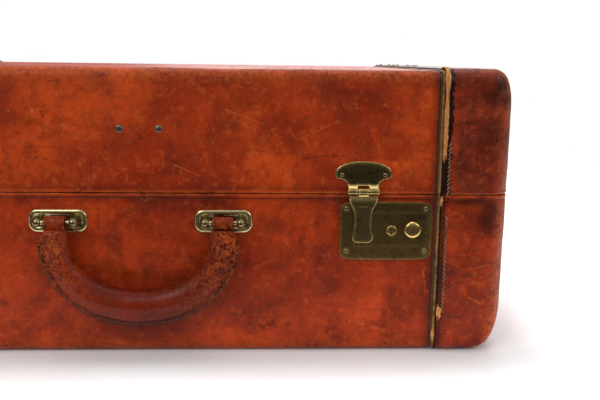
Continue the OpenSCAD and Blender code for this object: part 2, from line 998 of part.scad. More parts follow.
body_shell();
body_lining();
body_leather();
body_end_cap(-1);  // body_end_cap_left
body_end_cap(1);  // body_end_cap_right
body_welts();
body_end_panels();
body_rim();
packing_straps();
strap_buckles();
hinge_leaf_body(-1);  // hinge_leaf_body_left
hinge_leaf_body(1);  // hinge_leaf_body_right
hinge_pin(-1);  // hinge_pin_left
hinge_pin(1);  // hinge_pin_right
hinge_rivets(-1);  // hinge_rivets_body
handle_plate(-1);  // handle_plate_left
handle_plate(1);  // handle_plate_right
handle_staple(-1);  // handle_staple_left
handle_staple(1);  // handle_staple_right
lock_plate(-1);  // lock_plate_left
lock_plate(1);  // lock_plate_right
lock_case(-1);  // lock_case_left
lock_case(1);  // lock_case_right
lock_plate_rivets();
key_escutcheon(-1);  // key_escutcheon_left
key_escutcheon(1);  // key_escutcheon_right
lid_shell();
lid_lining();
lid_leather();
lid_end_cap(-1);  // lid_end_cap_left
lid_end_cap(1);  // lid_end_cap_right
lid_welts();
lid_end_panels();
lid_pocket();
lid_rivets();
lid_keeper();
hinge_leaf_lid(-1);  // hinge_leaf_lid_left
hinge_leaf_lid(1);  // hinge_leaf_lid_right
hinge_rivets(1);  // hinge_rivets_lid
hasp_plate(-1);  // hasp_plate_left
hasp_plate(1);  // hasp_plate_right
hasp_plate_rivets();
hasp_pin(-1);  // hasp_pin_left
hasp_pin(1);  // hasp_pin_right
hasp(-1);  // hasp_left
hasp(1);  // hasp_right
handle_grip();
handle_core();
handle_loops();
lock_slider(-1);  // lock_slider_left
lock_slider(1);  // lock_slider_right
lock_knob(-1);  // lock_knob_left
lock_knob(1);  // lock_knob_right
lock_spring(-1);  // lock_spring_left
lock_spring(1);  // lock_spring_right
lock_lever(-1);  // lock_lever_left
lock_lever(1);  // lock_lever_right
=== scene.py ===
import json
import random
from math import copysign, cos, dist, exp, hypot, pi, radians, sin, sqrt

import bmesh
import bpy
import numpy as np
from mathutils import Matrix, Vector, noise
from mathutils.bvhtree import BVHTree

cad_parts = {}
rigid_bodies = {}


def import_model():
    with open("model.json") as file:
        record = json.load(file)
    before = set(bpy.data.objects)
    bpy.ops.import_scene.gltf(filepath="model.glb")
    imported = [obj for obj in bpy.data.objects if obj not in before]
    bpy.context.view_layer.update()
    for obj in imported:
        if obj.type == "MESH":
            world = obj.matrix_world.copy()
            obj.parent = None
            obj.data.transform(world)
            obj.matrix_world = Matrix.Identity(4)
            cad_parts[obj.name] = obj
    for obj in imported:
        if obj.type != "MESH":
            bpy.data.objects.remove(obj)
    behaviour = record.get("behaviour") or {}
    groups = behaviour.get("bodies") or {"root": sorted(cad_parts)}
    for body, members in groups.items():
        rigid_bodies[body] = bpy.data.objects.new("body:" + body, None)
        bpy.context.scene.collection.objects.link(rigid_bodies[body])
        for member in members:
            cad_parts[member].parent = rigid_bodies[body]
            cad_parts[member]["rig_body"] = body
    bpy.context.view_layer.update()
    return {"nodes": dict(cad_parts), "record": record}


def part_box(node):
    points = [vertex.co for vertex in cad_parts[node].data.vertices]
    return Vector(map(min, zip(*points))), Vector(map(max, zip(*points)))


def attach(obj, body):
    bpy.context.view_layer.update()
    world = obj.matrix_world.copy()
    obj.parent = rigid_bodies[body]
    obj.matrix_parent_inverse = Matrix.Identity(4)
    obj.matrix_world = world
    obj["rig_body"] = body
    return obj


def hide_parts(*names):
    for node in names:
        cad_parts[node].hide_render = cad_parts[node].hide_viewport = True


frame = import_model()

MM = 0.001
random.seed(7)


def low(node):
    """A CAD node's lowest corner, in millimetres."""
    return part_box(node)[0] / MM


def high(node):
    """A CAD node's highest corner, in millimetres."""
    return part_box(node)[1] / MM


# ---------------------------------------------------------------- materials


def dim(colour, share):
    return [c * share for c in colour]


class Look:
    """A material's node tree, with short calls for the nodes that the looks here share."""

    def __init__(self, name):
        self.material = bpy.data.materials.new(name)
        self.material.use_nodes = True
        self.tree = self.material.node_tree
        self.shader = self.tree.nodes["Principled BSDF"]
        place = self.add("ShaderNodeTexCoord").outputs["Object"]
        scaled = self.add("ShaderNodeVectorMath", operation="SCALE")
        scaled.inputs["Scale"].default_value = 1 / MM
        self.join(place, scaled.inputs[0])
        self.mm = scaled.outputs["Vector"]

    def add(self, kind, **settings):
        node = self.tree.nodes.new(kind)
        for key, value in settings.items():
            setattr(node, key, value)
        return node

    def join(self, value, socket):
        """Feeds a socket from another socket, a number or a colour."""
        if isinstance(value, bpy.types.NodeSocket):
            self.tree.links.new(value, socket)
        elif isinstance(value, (tuple, list)) and len(value) == 3 and socket.type == "RGBA":
            socket.default_value = (*value, 1)
        else:
            socket.default_value = value
        return socket

    def sum(self, operation, a, b=0.0, clamp=False):
        node = self.add("ShaderNodeMath", operation=operation, use_clamp=clamp)
        self.join(a, node.inputs[0])
        self.join(b, node.inputs[1])
        return node.outputs[0]

    def times(self, *values):
        result = values[0]
        for value in values[1:]:
            result = self.sum("MULTIPLY", result, value)
        return result

    def mix(self, share, a, b, blend="MIX"):
        node = self.add("ShaderNodeMix", data_type="RGBA", blend_type=blend)
        self.join(share, node.inputs[0])
        self.join(a, node.inputs[6])
        self.join(b, node.inputs[7])
        return node.outputs[2]

    def over(self, under, top, *shares):
        """One colour laid over another by the product of the shares."""
        return self.mix(self.times(*shares), under, top)

    def step(self, value, start, end, low=0.0, high=1.0):
        """A smooth step from low to high as value goes from start to end."""
        node = self.add("ShaderNodeMapRange", interpolation_type="SMOOTHSTEP")
        if start > end:
            start, end, low, high = end, start, high, low
        for index, item in enumerate((value, start, end, low, high)):
            self.join(item, node.inputs[index])
        return node.outputs[0]

    def place(self, turn=(0, 0, 0), size=(1, 1, 1), shift=(0, 0, 0)):
        """The place in millimetres, shifted, turned by degrees and divided by a size along each axis."""
        node = self.add("ShaderNodeMapping", vector_type="TEXTURE")
        self.join(self.mm, node.inputs[0])
        node.inputs["Location"].default_value = shift
        node.inputs["Rotation"].default_value = [radians(a) for a in turn]
        node.inputs["Scale"].default_value = size
        return node.outputs[0]

    def noise(self, size, detail=4.0, rough=0.55, warp=0.0, stretch=(1, 1, 1), turn=(0, 0, 0), shift=0.0):
        where = self.place(turn, [size * s for s in stretch], (shift, shift * 1.7, shift * 0.6))
        node = self.add("ShaderNodeTexNoise")
        self.join(where, node.inputs["Vector"])
        node.inputs["Scale"].default_value = 1.0
        node.inputs["Detail"].default_value = detail
        node.inputs["Roughness"].default_value = rough
        node.inputs["Distortion"].default_value = warp
        return node.outputs[0]

    def cells(self, size, feature="F1", shift=0.0, stretch=(1, 1, 1)):
        node = self.add("ShaderNodeTexVoronoi", feature=feature)
        self.join(self.place((0, 0, 0), [size * s for s in stretch], (shift,) * 3), node.inputs["Vector"])
        node.inputs["Scale"].default_value = 1.0
        return node.outputs["Distance"]

    def scratches(self, length, width, angle, share, shift=0.0):
        """Long thin lines that lean at an angle in the XZ plane, where a second noise allows them."""
        field = self.noise(1.0, 1.0, 0.3, 0.15, (length, length, length * 0.16), (0, angle, 0), shift)
        line = self.step(self.sum("ABSOLUTE", self.sum("SUBTRACT", field, 0.5)), width, 0.0)
        allowed = self.step(self.noise(length * 0.5, 2.0, 0.6, shift=shift + 31), share, share + 0.05)
        return self.times(line, allowed)

    def mark(self, start, end, width, fuzz=0.4):
        """A stroke on the front between two (x, z) points."""
        a = Vector((start[0], 0, start[1]))
        along = Vector((end[0], 0, end[1])) - a
        flat = self.add("ShaderNodeVectorMath", operation="MULTIPLY")
        self.join(self.mm, flat.inputs[0])
        flat.inputs[1].default_value = (1, 0, 1)
        away = self.add("ShaderNodeVectorMath", operation="SUBTRACT")
        self.join(flat.outputs[0], away.inputs[0])
        away.inputs[1].default_value = a
        dot = self.add("ShaderNodeVectorMath", operation="DOT_PRODUCT")
        self.join(away.outputs[0], dot.inputs[0])
        dot.inputs[1].default_value = along / max(along.length_squared, 1e-6)
        share = self.sum("MULTIPLY", dot.outputs["Value"], 1.0, clamp=True)
        near = self.add("ShaderNodeVectorMath", operation="SCALE")
        near.inputs[0].default_value = along
        self.join(share, near.inputs["Scale"])
        gap = self.add("ShaderNodeVectorMath", operation="DISTANCE")
        self.join(away.outputs[0], gap.inputs[0])
        self.join(near.outputs[0], gap.inputs[1])
        ragged = self.sum("MULTIPLY_ADD", self.noise(1.6, 3.0, 0.6), width)
        rough_gap = self.sum("SUBTRACT", gap.outputs["Value"], self.sum("MULTIPLY", ragged, 0.5))
        depth = self.step(self.axis("y"), FRONT_MARKS_END + 2, FRONT_MARKS_END)
        broken = self.step(self.noise(2.4, 3.0, 0.7, shift=start[0]), 0.40, 0.56)
        return self.times(self.step(rough_gap, width * (1 + fuzz), width * 0.3), depth, broken)

    def axis(self, name):
        if not hasattr(self, "axes"):
            self.axes = self.add("ShaderNodeSeparateXYZ")
            self.join(self.mm, self.axes.inputs[0])
        return self.axes.outputs["xyz".index(name)]

    def mirrored_x(self):
        return self.sum("ABSOLUTE", self.axis("x"))

    def painted(self, name):
        """A number that was painted on the vertices."""
        return self.add("ShaderNodeAttribute", attribute_name=name).outputs["Fac"]

    def span(self):
        """Three painted lengths: along the section, from the seam and from the opening's edge."""
        if not hasattr(self, "spans"):
            source = self.add("ShaderNodeAttribute", attribute_name="span").outputs["Vector"]
            self.spans = self.add("ShaderNodeSeparateXYZ")
            self.join(source, self.spans.inputs[0])
        return self.spans.outputs

    def bump(self, height, depth, under=None):
        """A bump whose full height is depth millimetres."""
        node = self.add("ShaderNodeBump")
        node.inputs["Strength"].default_value = 1.0
        node.inputs["Distance"].default_value = depth * MM
        self.join(height, node.inputs["Height"])
        if under is not None:
            self.join(under, node.inputs["Normal"])
        return node.outputs[0]

    def finish(self, colour, roughness, normal=None, **uniform):
        self.join(colour, self.shader.inputs["Base Color"])
        self.join(roughness, self.shader.inputs["Roughness"])
        if normal is not None:
            self.join(normal, self.shader.inputs["Normal"])
        for key, value in uniform.items():
            self.join(value, self.shader.inputs[key.replace("_", " ")])
        return self.material


# Marks on the front: two (x, z) ends and a width. Further back than this y there are none.
FRONT_MARKS_END = -186.0
DARK_MARKS = [((-80.5, 160), (-77, 154), 2.2), ((-83, 156), (-79, 152), 1.6), ((82, 20), (98, 24), 2.6),
              ((-112, 42), (-104, 40), 1.4), ((-70, 186), (-69, 182), 0.6),
              ((147.6, 193.6), (151.8, 186.6), 0.4), ((121, 152.6), (134, 154.6), 0.35),
              ((134, 154.6), (152, 155.2), 0.3), ((244, 62.5), (262, 63.5), 0.35)]
PALE_MARKS = [((-1.9, 124.6), (2.5, 120), 0.22), ((2.5, 120), (6.7, 121.8), 0.2),
              ((-76.6, 187.5), (-76, 185.8), 0.8), ((161.7, 75.2), (171, 73.4), 0.28),
              ((172, 72.2), (181, 74.8), 0.25), ((166, 69.5), (177, 67.2), 0.2),
              ((214.8, 66), (217.6, 47), 0.7), ((-96, 64), (-90, 60), 0.25), ((60, 190), (92, 178), 0.16),
              ((120, 168), (146, 181), 0.16), ((20, 150), (44, 139), 0.14), ((218.4, 50), (219.4, 49), 0.6),
              ((159, 25.5), (187, 17.5), 0.7), ((256, 69), (266, 71), 0.4), ((251, 45), (263.5, 38.5), 0.5)]
# The pressed line's distance from the opening's edge.
CREASE = 3.2
# The stitch holes' pitch and their distance from the seam.
HOLE_PITCH = 3.3
HOLE_LINE = 4.1


def leather(name, bright, deep, stain, grime_and_shade=0.5, gloss=0.36, marks=False, holes=False, cracks=0.0,
            crease=0.0, edge_band=0.0, band_depth=0.85, ragged=2.6, mottle=0.5, shine=0.17):
    """Aged, polished leather. Colours are linear; stain is the colour of its patina and dirt, and, dimmed, of
    the painted shade.
    """
    look = Look(name)
    broad = look.noise(95, 3.0, 0.55, 0.4)
    middle = look.noise(26, 6.0, 0.62, 0.6, shift=40)
    fine = look.noise(5.5, 5.0, 0.66, 0.2, shift=9)
    specks = look.noise(1.3, 3.0, 0.7, shift=5)
    streaks = look.noise(1.0, 4.0, 0.62, 0.3, (38, 38, 3.2), (0, 6, 0), 80)
    colour = look.mix(look.step(broad, 0.36, 0.62), bright, deep)
    blot = look.step(look.noise(42, 5.0, 0.6, 1.0, (1.6, 1.6, 0.8), shift=150), 0.46, 0.66)
    colour = look.over(colour, dim(deep, 0.55), blot, mottle, 0.8)
    cloud = look.times(look.step(middle, 0.44, 0.74), mottle)
    colour = look.mix(cloud, colour, stain)
    patch = look.noise(8.5, 7.0, 0.74, 1.1, (1, 1, 1.3), shift=210)
    colour = look.over(colour, dim(deep, 0.62), look.step(patch, 0.50, 0.60), mottle, 0.55)
    pale_tone = [min(0.8, c * 1.25) for c in bright]
    colour = look.over(colour, pale_tone, look.step(patch, 0.45, 0.36), mottle, 0.45)
    dirt = look.times(look.step(look.noise(11, 6.0, 0.7, 0.8, shift=63), 0.55, 0.75), grime_and_shade)
    colour = look.mix(dirt, colour, dim(stain, 0.55))
    colour = look.over(colour, stain, look.step(streaks, 0.56, 0.75), 0.32)
    lift = [min(0.8, bright[0] * 1.22), bright[1] * 2.3, bright[2] * 1.9]
    colour = look.over(colour, lift, look.step(fine, 0.52, 0.76), 0.42)
    colour = look.over(colour, dim(deep, 0.5), look.step(specks, 0.6, 0.8), 0.22)
    worn = look.times(look.painted("wear"), look.step(look.noise(3.2, 5.0, 0.7, shift=17), 0.38, 0.62))
    colour = look.over(colour, lift, worn, 0.65)
    # Painted shade: the painted 'shade' number darkens the colour towards a dim stain tone.
    shade = look.painted("shade")
    colour = look.mix(shade, colour, dim(stain, 0.16))
    pale_lines = look.scratches(34, 0.0016, 28, 0.58, 3)
    pale_more = look.scratches(52, 0.0010, -19, 0.57, 57)
    dark_lines = look.scratches(58, 0.003, 8, 0.54, 91)
    dark_more = look.scratches(36, 0.0032, -52, 0.58, 23)
    pale = look.sum("MAXIMUM", pale_lines, pale_more)
    dark = look.sum("MAXIMUM", dark_lines, dark_more)
    nick_size = look.cells(13, shift=7)
    nick_pick = look.step(look.noise(9, 2.0, 0.5, shift=70), 0.56, 0.60)
    nick = look.times(look.step(nick_size, 0.045, 0.02), nick_pick)
    pale = look.sum("MAXIMUM", pale, nick)
    pit_pick = look.step(look.noise(14, 2.0, 0.5, shift=120), 0.55, 0.6)
    pit = look.times(look.step(look.cells(9, shift=21), 0.055, 0.02), pit_pick)
    dark = look.sum("MAXIMUM", dark, pit)
    if marks:
        for start, end, width in PALE_MARKS:
            pale = look.sum("MAXIMUM", pale, look.mark(start, end, width))
        for start, end, width in DARK_MARKS:
            dark = look.sum("MAXIMUM", dark, look.times(look.mark(start, end, width, 1.4), 0.75))
    colour = look.over(colour, lift, pale, 0.45)
    colour = look.over(colour, dim(stain, 0.2), dark, 0.7)
    along, seam, opening = look.span()
    height = look.sum("MULTIPLY_ADD", look.cells(1.15), 0.25)
    height = look.sum("ADD", height, look.times(look.noise(0.5, 3.0, 0.6), 0.35))
    if crease:
        line = look.times(look.step(opening, CREASE - 0.55, CREASE),
                          look.step(opening, CREASE + 0.65, CREASE))
        colour = look.over(colour, dim(stain, 0.12), line, crease)
        lip = look.times(look.step(opening, 1.5, 0.5),
                         look.step(look.noise(8, 3.0, 0.6, shift=33), 0.42, 0.6))
        colour = look.over(colour, lift, lip, 0.35)
    if edge_band:
        torn = look.times(look.noise(3.2, 5.0, 0.65, shift=12), ragged)
        band = look.step(look.sum("SUBTRACT", seam, torn), edge_band, edge_band - 0.8)
        colour = look.over(colour, dim(stain, 0.22), band, band_depth)
    if holes:
        beat = look.sum("WRAP", along, 0.0)
        beat.node.inputs[1].default_value = HOLE_PITCH
        beat.node.inputs[2].default_value = 0.0
        off = look.sum("SUBTRACT", beat, HOLE_PITCH / 2)
        out = look.sum("SUBTRACT", seam, HOLE_LINE)
        reach = look.sum("SQRT", look.sum("ADD", look.times(off, off), look.times(out, out)))
        # Each empty stitch hole is painted near black: painted shade for the hole, which the surface only
        # dents.
        hole = look.step(reach, 0.75, 0.4)
        colour = look.over(colour, (0.006, 0.003, 0.002), hole, 0.9)
        height = look.sum("SUBTRACT", height, look.times(hole, 2.0))
    if cracks:
        veins = look.step(look.cells(2.0, "DISTANCE_TO_EDGE", 3, (1.5, 1.5, 0.8)), 0.13, 0.04)
        veins = look.times(veins, look.step(look.noise(6, 3.0, 0.6, shift=88), 0.44, 0.56))
        flaked = look.step(look.noise(3.4, 6.0, 0.75, 0.8, shift=51), 0.47, 0.52)
        where = look.times(look.painted("crack"), cracks)
        bare = look.times(flaked, where)
        colour = look.over(colour, (0.50, 0.085, 0.012), bare, 0.85)
        colour = look.over(colour, (0.012, 0.004, 0.003), veins, where, 0.8)
        height = look.sum("SUBTRACT", height, look.times(bare, 1.2))
        height = look.sum("SUBTRACT", height, look.times(veins, where, 1.2))
    height = look.sum("SUBTRACT", height, look.times(look.sum("MAXIMUM", pale, dark), 0.8))
    swell = look.bump(look.noise(7, 4.0, 0.6, shift=44), 0.5)
    normal = look.bump(height, 0.16, swell)
    rough = look.sum("ADD", gloss, look.times(look.step(middle, 0.3, 0.8), 0.16))
    rough = look.sum("ADD", rough, look.times(look.step(fine, 0.4, 0.7), 0.12))
    rough = look.sum("ADD", rough, look.times(pale, 0.2))
    return look.finish(colour, rough, normal, Specular_IOR_Level=shine)


def raw_leather(name, pale, dark):
    """The rough flesh side that shows where leather is torn."""
    look = Look(name)
    fibre = look.noise(0.8, 6.0, 0.75, 1.2, (1, 1, 3.5))
    tone = look.mix(look.step(fibre, 0.35, 0.68), dark, pale)
    tone = look.over(tone, dark, look.step(look.noise(6, 4.0, 0.6), 0.5, 0.7), 0.6)
    normal = look.bump(fibre, 0.5, look.bump(look.noise(2.4, 5.0, 0.7), 0.7))
    return look.finish(tone, 0.86, normal, Specular_IOR_Level=0.2, Sheen_Weight=0.25, Sheen_Roughness=0.5)


def metal(name, bright, tarnish, cover, shine, edge_shine=0.22, brushed=0.0, red=0.0):
    """Metal under a patina that handling has rubbed off its edges, and that a painted highlight also takes off
    where one is given.
    """
    look = Look(name)
    edge = look.sum("MULTIPLY", look.painted("edge"), 1.0, clamp=True)
    cloud = look.noise(7, 6.0, 0.65, 0.7)
    spots = look.noise(1.6, 5.0, 0.7, 0.3, shift=8)
    patina = look.sum("ADD", look.step(cloud, 0.2, 0.75), look.times(look.step(spots, 0.4, 0.8), 0.5))
    covered = look.sum("MULTIPLY", patina, cover, clamp=True)
    floor_cover = look.sum("MAXIMUM", covered, cover * 0.84)
    # Worn edges, with any painted highlight in the edge mask, lose their patina here.
    rubbed_and_highlight = look.times(edge, look.step(look.noise(3, 3.0, 0.6, shift=14), 0.25, 0.5, 0.55, 1.0))
    left = look.sum("MULTIPLY", floor_cover, look.sum("SUBTRACT", 1.0, rubbed_and_highlight), clamp=True)
    colour = look.mix(left, bright, tarnish)
    if red:
        blush = look.step(look.noise(9, 4.0, 0.6, shift=77), 0.54, 0.7)
        colour = look.over(colour, (0.13, 0.028, 0.010), blush, red)
    fine_lines = look.noise(1.0, 3.0, 0.6, 0.0, (0.12, 0.12, 9), (0, 0, 0), 4)
    scuffs = look.sum("MAXIMUM", look.scratches(18, 0.006, 34, 0.5, 5),
                      look.scratches(13, 0.006, -61, 0.52, 19))
    colour = look.over(colour, bright, scuffs, 0.45)
    rough = look.sum("ADD", look.times(left, shine - edge_shine), edge_shine)
    rough = look.sum("ADD", rough, look.times(look.step(spots, 0.3, 0.8), 0.14))
    height = look.sum("ADD", look.times(spots, 0.5), look.times(fine_lines, brushed))
    normal = look.bump(height, 0.02, look.bump(cloud, 0.10))
    return look.finish(colour, rough, normal, Metallic=1.0)


def woven(name, tone, thread, stain):
    """A plain woven cotton with slubs and old stains."""
    look = Look(name)
    pitch = 0.9
    x, y, z = (look.axis(a) for a in "xyz")
    turn = 2 * pi / pitch
    across = look.sum("SINE", look.times(look.sum("ADD", x, look.times(y, 0.5)), turn))
    up = look.sum("SINE", look.times(look.sum("ADD", z, look.times(y, 0.5)), turn))
    weave = look.sum("ADD", look.times(across, up, 0.5), 0.5)
    slub = look.noise(1.0, 3.0, 0.6, 0.0, (14, 14, 0.9))
    slub_up = look.noise(1.0, 3.0, 0.6, 0.0, (0.9, 14, 14), shift=15)
    colour = look.mix(look.step(weave, 0.2, 0.8), thread, tone)
    colour = look.over(colour, thread, look.step(slub, 0.52, 0.7), 0.4)
    colour = look.over(colour, thread, look.step(slub_up, 0.52, 0.7), 0.4)
    old = look.step(look.noise(60, 5.0, 0.6, 0.8), 0.48, 0.72)
    colour = look.over(colour, stain, old, 0.5)
    height = look.sum("ADD", weave, look.times(slub, 0.8))
    normal = look.bump(height, 0.22, look.bump(look.noise(18, 3.0, 0.5), 0.9))
    return look.finish(colour, 0.85, normal, Sheen_Weight=0.3, Sheen_Roughness=0.5, Specular_IOR_Level=0.2)


def fibre_board(name):
    """The grey-brown pressed board under the leather."""
    look = Look(name)
    fibre = look.noise(1.2, 6.0, 0.7, 0.5)
    colour = look.mix(look.step(fibre, 0.3, 0.7), (0.12, 0.075, 0.045), (0.22, 0.15, 0.095))
    colour = look.over(colour, (0.08, 0.05, 0.03), look.step(look.noise(30), 0.45, 0.7), 0.5)
    return look.finish(colour, 0.82, look.bump(fibre, 0.25), Specular_IOR_Level=0.25)


def sewing_thread(name, tone, dirt):
    """Waxed linen thread with its twist."""
    look = Look(name)
    twist = look.noise(0.35, 2.0, 0.5, 0.0, (1, 1, 2.2), (0, 35, 0))
    colour = look.mix(look.step(twist, 0.35, 0.65), dirt, tone)
    colour = look.over(colour, dirt, look.step(look.noise(9, 4.0, 0.6), 0.45, 0.7), 0.7)
    return look.finish(colour, 0.6, look.bump(twist, 0.12), Specular_IOR_Level=0.3)


LOOKS = {
    "leather_main": leather("cognac_leather", (0.66, 0.076, 0.010), (0.38, 0.034, 0.006), (0.15, 0.017, 0.005),
                            marks=True, grime_and_shade=0.45, mottle=0.66, crease=0.15),
    # A darker copy of the main leather for the lower half: painted shade on the lower half, with a deeper
    # pressed line.
    "leather_body_shaded": leather("cognac_leather_low_shaded", (0.53, 0.053, 0.007), (0.29, 0.025, 0.004),
                            (0.11, 0.012, 0.004), marks=True, grime_and_shade=0.5, mottle=0.7, crease=0.75),
    "leather_cap_body": leather("body_cap_leather", (0.56, 0.057, 0.007), (0.27, 0.025, 0.006),
                                (0.075, 0.011, 0.006), marks=True, grime_and_shade=0.75, mottle=0.9, holes=True,
                                edge_band=2.3, band_depth=0.72, crease=0.6),
    "leather_cap_lid": leather("lid_cap_leather", (0.44, 0.052, 0.014), (0.20, 0.024, 0.009),
                               (0.040, 0.010, 0.007), grime_and_shade=0.9, mottle=0.95, gloss=0.26, holes=True,
                               edge_band=1.6, band_depth=0.96, ragged=8.0, crease=0.15, shine=0.24),
    "leather_handle": leather("handle_leather", (0.25, 0.021, 0.005), (0.135, 0.012, 0.004),
                              (0.040, 0.006, 0.003), gloss=0.17, cracks=1.0, grime_and_shade=0.6, shine=0.15),
    "leather_welt": leather("welt_leather", (0.34, 0.120, 0.040), (0.20, 0.058, 0.018), (0.06, 0.018, 0.008),
                            gloss=0.5, mottle=0.9),
    "leather_strap": leather("strap_leather", (0.30, 0.085, 0.028), (0.20, 0.048, 0.015), (0.07, 0.016, 0.007),
                             gloss=0.42),
    "raw": raw_leather("torn_leather", (0.95, 0.44, 0.13), (0.50, 0.16, 0.040)),
    "lining_cloth": woven("lining_cotton", (0.47, 0.34, 0.21), (0.25, 0.165, 0.095), (0.22, 0.13, 0.07)),
    "board": fibre_board("pressed_board"),
    "thread": sewing_thread("linen_thread", (0.46, 0.26, 0.13), (0.10, 0.045, 0.022)),
    "dark_thread": sewing_thread("handle_thread", (0.30, 0.115, 0.040), (0.06, 0.018, 0.009)),
    "brass_antique": metal("antique_brass", (0.62, 0.42, 0.14), (0.088, 0.052, 0.020), 1.0, 0.36, red=0.4),
    "brass_dark": metal("dark_brass", (0.62, 0.45, 0.17), (0.050, 0.032, 0.015), 1.0, 0.32, red=0.1),
    "brass_hasp": metal("hasp_brass", (0.66, 0.47, 0.17), (0.095, 0.066, 0.028), 0.97, 0.34, red=0.05),
    "rivet": metal("rivet_brass", (0.30, 0.22, 0.11), (0.040, 0.029, 0.017), 1.0, 0.26, 0.2),
    "brass_rim": metal("polished_rim_brass", (0.62, 0.52, 0.26), (0.13, 0.105, 0.050), 0.85, 0.24, 0.2),
    "brass_knob": metal("knob_brass", (0.86, 0.58, 0.20), (0.50, 0.30, 0.09), 0.35, 0.20, 0.14),
    "brass_bright": metal("rubbed_brass", (0.74, 0.49, 0.18), (0.24, 0.145, 0.05), 0.65, 0.30),
    "iron_dark": metal("black_iron", (0.42, 0.38, 0.33), (0.055, 0.050, 0.046), 1.0, 0.42, 0.3),
    "steel": metal("grey_steel", (0.50, 0.50, 0.50), (0.17, 0.16, 0.15), 0.75, 0.42, brushed=1.0),
}


# ---------------------------------------------------------------- mesh helpers


def paint(piece, name, values):
    layer = piece.data.attributes.new(name, "FLOAT", "POINT")
    layer.data.foreach_set("value", np.asarray(values, np.float32).ravel())


def paint_span(piece, values):
    layer = piece.data.attributes.new("span", "FLOAT_VECTOR", "POINT")
    layer.data.foreach_set("vector", np.asarray(values, np.float32).ravel())


def hand(side):
    return "right" if side > 0 else "left"


def ring_faces(rings, sides, first=0):
    """Quads between the rings of points that follow each other from index first."""
    faces = []
    for k in range(rings - 1):
        for step in range(sides):
            a, b = first + k * sides + step, first + k * sides + (step + 1) % sides
            faces.append((a, b, b + sides, a + sides))
    return faces


def tube_faces(rings, sides, first=0):
    """Ring faces with both ends closed."""
    last = first + (rings - 1) * sides
    ends = [tuple(reversed(range(first, first + sides))), tuple(range(last, last + sides))]
    return ring_faces(rings, sides, first) + ends


def new_piece(name, verts, faces, look, body, replaces=(), smooth=True):
    """A closed mesh from millimetre points, on its body and standing for its CAD nodes."""
    mesh = bpy.data.meshes.new(name)
    mesh.from_pydata((np.asarray(verts, float) * MM).tolist(), [], faces)
    bm = bmesh.new()
    bm.from_mesh(mesh)
    bmesh.ops.recalc_face_normals(bm, faces=bm.faces)
    for face in bm.faces:
        face.smooth = smooth
    bm.to_mesh(mesh)
    bm.free()
    mesh.materials.append(LOOKS[look])
    piece = bpy.data.objects.new(name, mesh)
    bpy.context.scene.collection.objects.link(piece)
    return placed(piece, body, replaces)


def placed(piece, body, replaces=()):
    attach(piece, body)
    if replaces:
        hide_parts(*replaces)
    return piece


NEAR_EDGE = (0.0, 0.12, 0.3, 0.55, 0.9, 1.4, 2.0, 2.6, 3.1, 3.6, 4.2, 5.2, 6.8)


def stations(length, pitch, start=True, end=True):
    """Distances along a length, close together near the ends that are rolled edges."""
    first = list(NEAR_EDGE) if start else [0.0]
    last = [length - d for d in reversed(NEAR_EDGE)] if end else [length]
    count = max(2, round((last[0] - first[-1]) / pitch))
    middle = [first[-1] + (last[0] - first[-1]) * k / count for k in range(1, count)]
    return first + middle + last


def u_length(half, depth, radius):
    return 2 * (depth - radius) + pi * radius + 2 * (half - radius)


def u_point(half, depth, radius, s):
    """(y, depth below the opening) at a length s along a U: down the front, across and up the back."""
    total = u_length(half, depth, radius)
    back = s > total / 2
    s = min(s, total - s)
    leg, arc = depth - radius, pi / 2 * radius
    if s < leg:
        y, w = -half, s
    elif s < leg + arc:
        angle = (s - leg) / max(radius, 1e-9)
        y, w = -half + radius * (1 - cos(angle)), leg + radius * sin(angle)
    else:
        y, w = -half + radius + s - leg - arc, depth
    return (-y if back else y), w


def grid_normals(grid):
    normal = np.cross(np.gradient(grid, axis=0), np.gradient(grid, axis=1))
    return normal / np.maximum(np.linalg.norm(normal, axis=2, keepdims=True), 1e-12)


def rim_distance(columns, rows):
    """Each point's distance from the nearest edge of a sheet with these stations."""
    a, b = np.array(columns)[:, None], np.array(rows)[None, :]
    return np.minimum(np.minimum(a, columns[-1] - a), np.minimum(b, rows[-1] - b))


def sheet_normals(grid):
    normal = grid_normals(grid)
    outward = grid - grid.mean(axis=(0, 1))
    return normal if (normal * outward).sum() > 0 else -normal


def shell(name, grid, edge, thickness, relief, look, body, replaces=(), normal=None):
    """A closed sheet with rounded edges. grid holds its outer points, edge each point's distance from
    the sheet's own edge, and relief how far each point stands out."""
    grid = np.asarray(grid, float)
    if normal is None:
        normal = sheet_normals(grid)
    nose = thickness * 0.48
    near = np.minimum(edge, nose)
    drop = (nose - np.sqrt(np.maximum(nose ** 2 - (nose - near) ** 2, 0)))[..., None]
    outer = grid + normal * (np.asarray(relief)[..., None] - drop)
    inner = grid + normal * (drop - thickness)
    rows, columns = grid.shape[:2]
    verts = np.concatenate([outer.reshape(-1, 3), inner.reshape(-1, 3)])
    below = rows * columns

    def at(i, j):
        return i * columns + j

    faces = []
    for i in range(rows - 1):
        for j in range(columns - 1):
            quad = (at(i, j), at(i + 1, j), at(i + 1, j + 1), at(i, j + 1))
            faces.append(quad)
            faces.append(tuple(below + k for k in reversed(quad)))
    rim = [at(i, 0) for i in range(rows)] + [at(rows - 1, j) for j in range(1, columns)]
    rim += [at(i, columns - 1) for i in range(rows - 2, -1, -1)]
    rim += [at(0, j) for j in range(columns - 2, 0, -1)]
    for a, b in zip(rim, rim[1:] + rim[:1]):
        faces.append((a, b, below + b, below + a))
    return new_piece(name, verts, faces, look, body, replaces)


def doubled(values):
    """Values for a shell's outer and inner points."""
    flat = np.asarray(values, float)
    flat = flat.reshape(-1, flat.shape[-1]) if flat.ndim == 3 else flat.ravel()
    return np.concatenate([flat, flat])


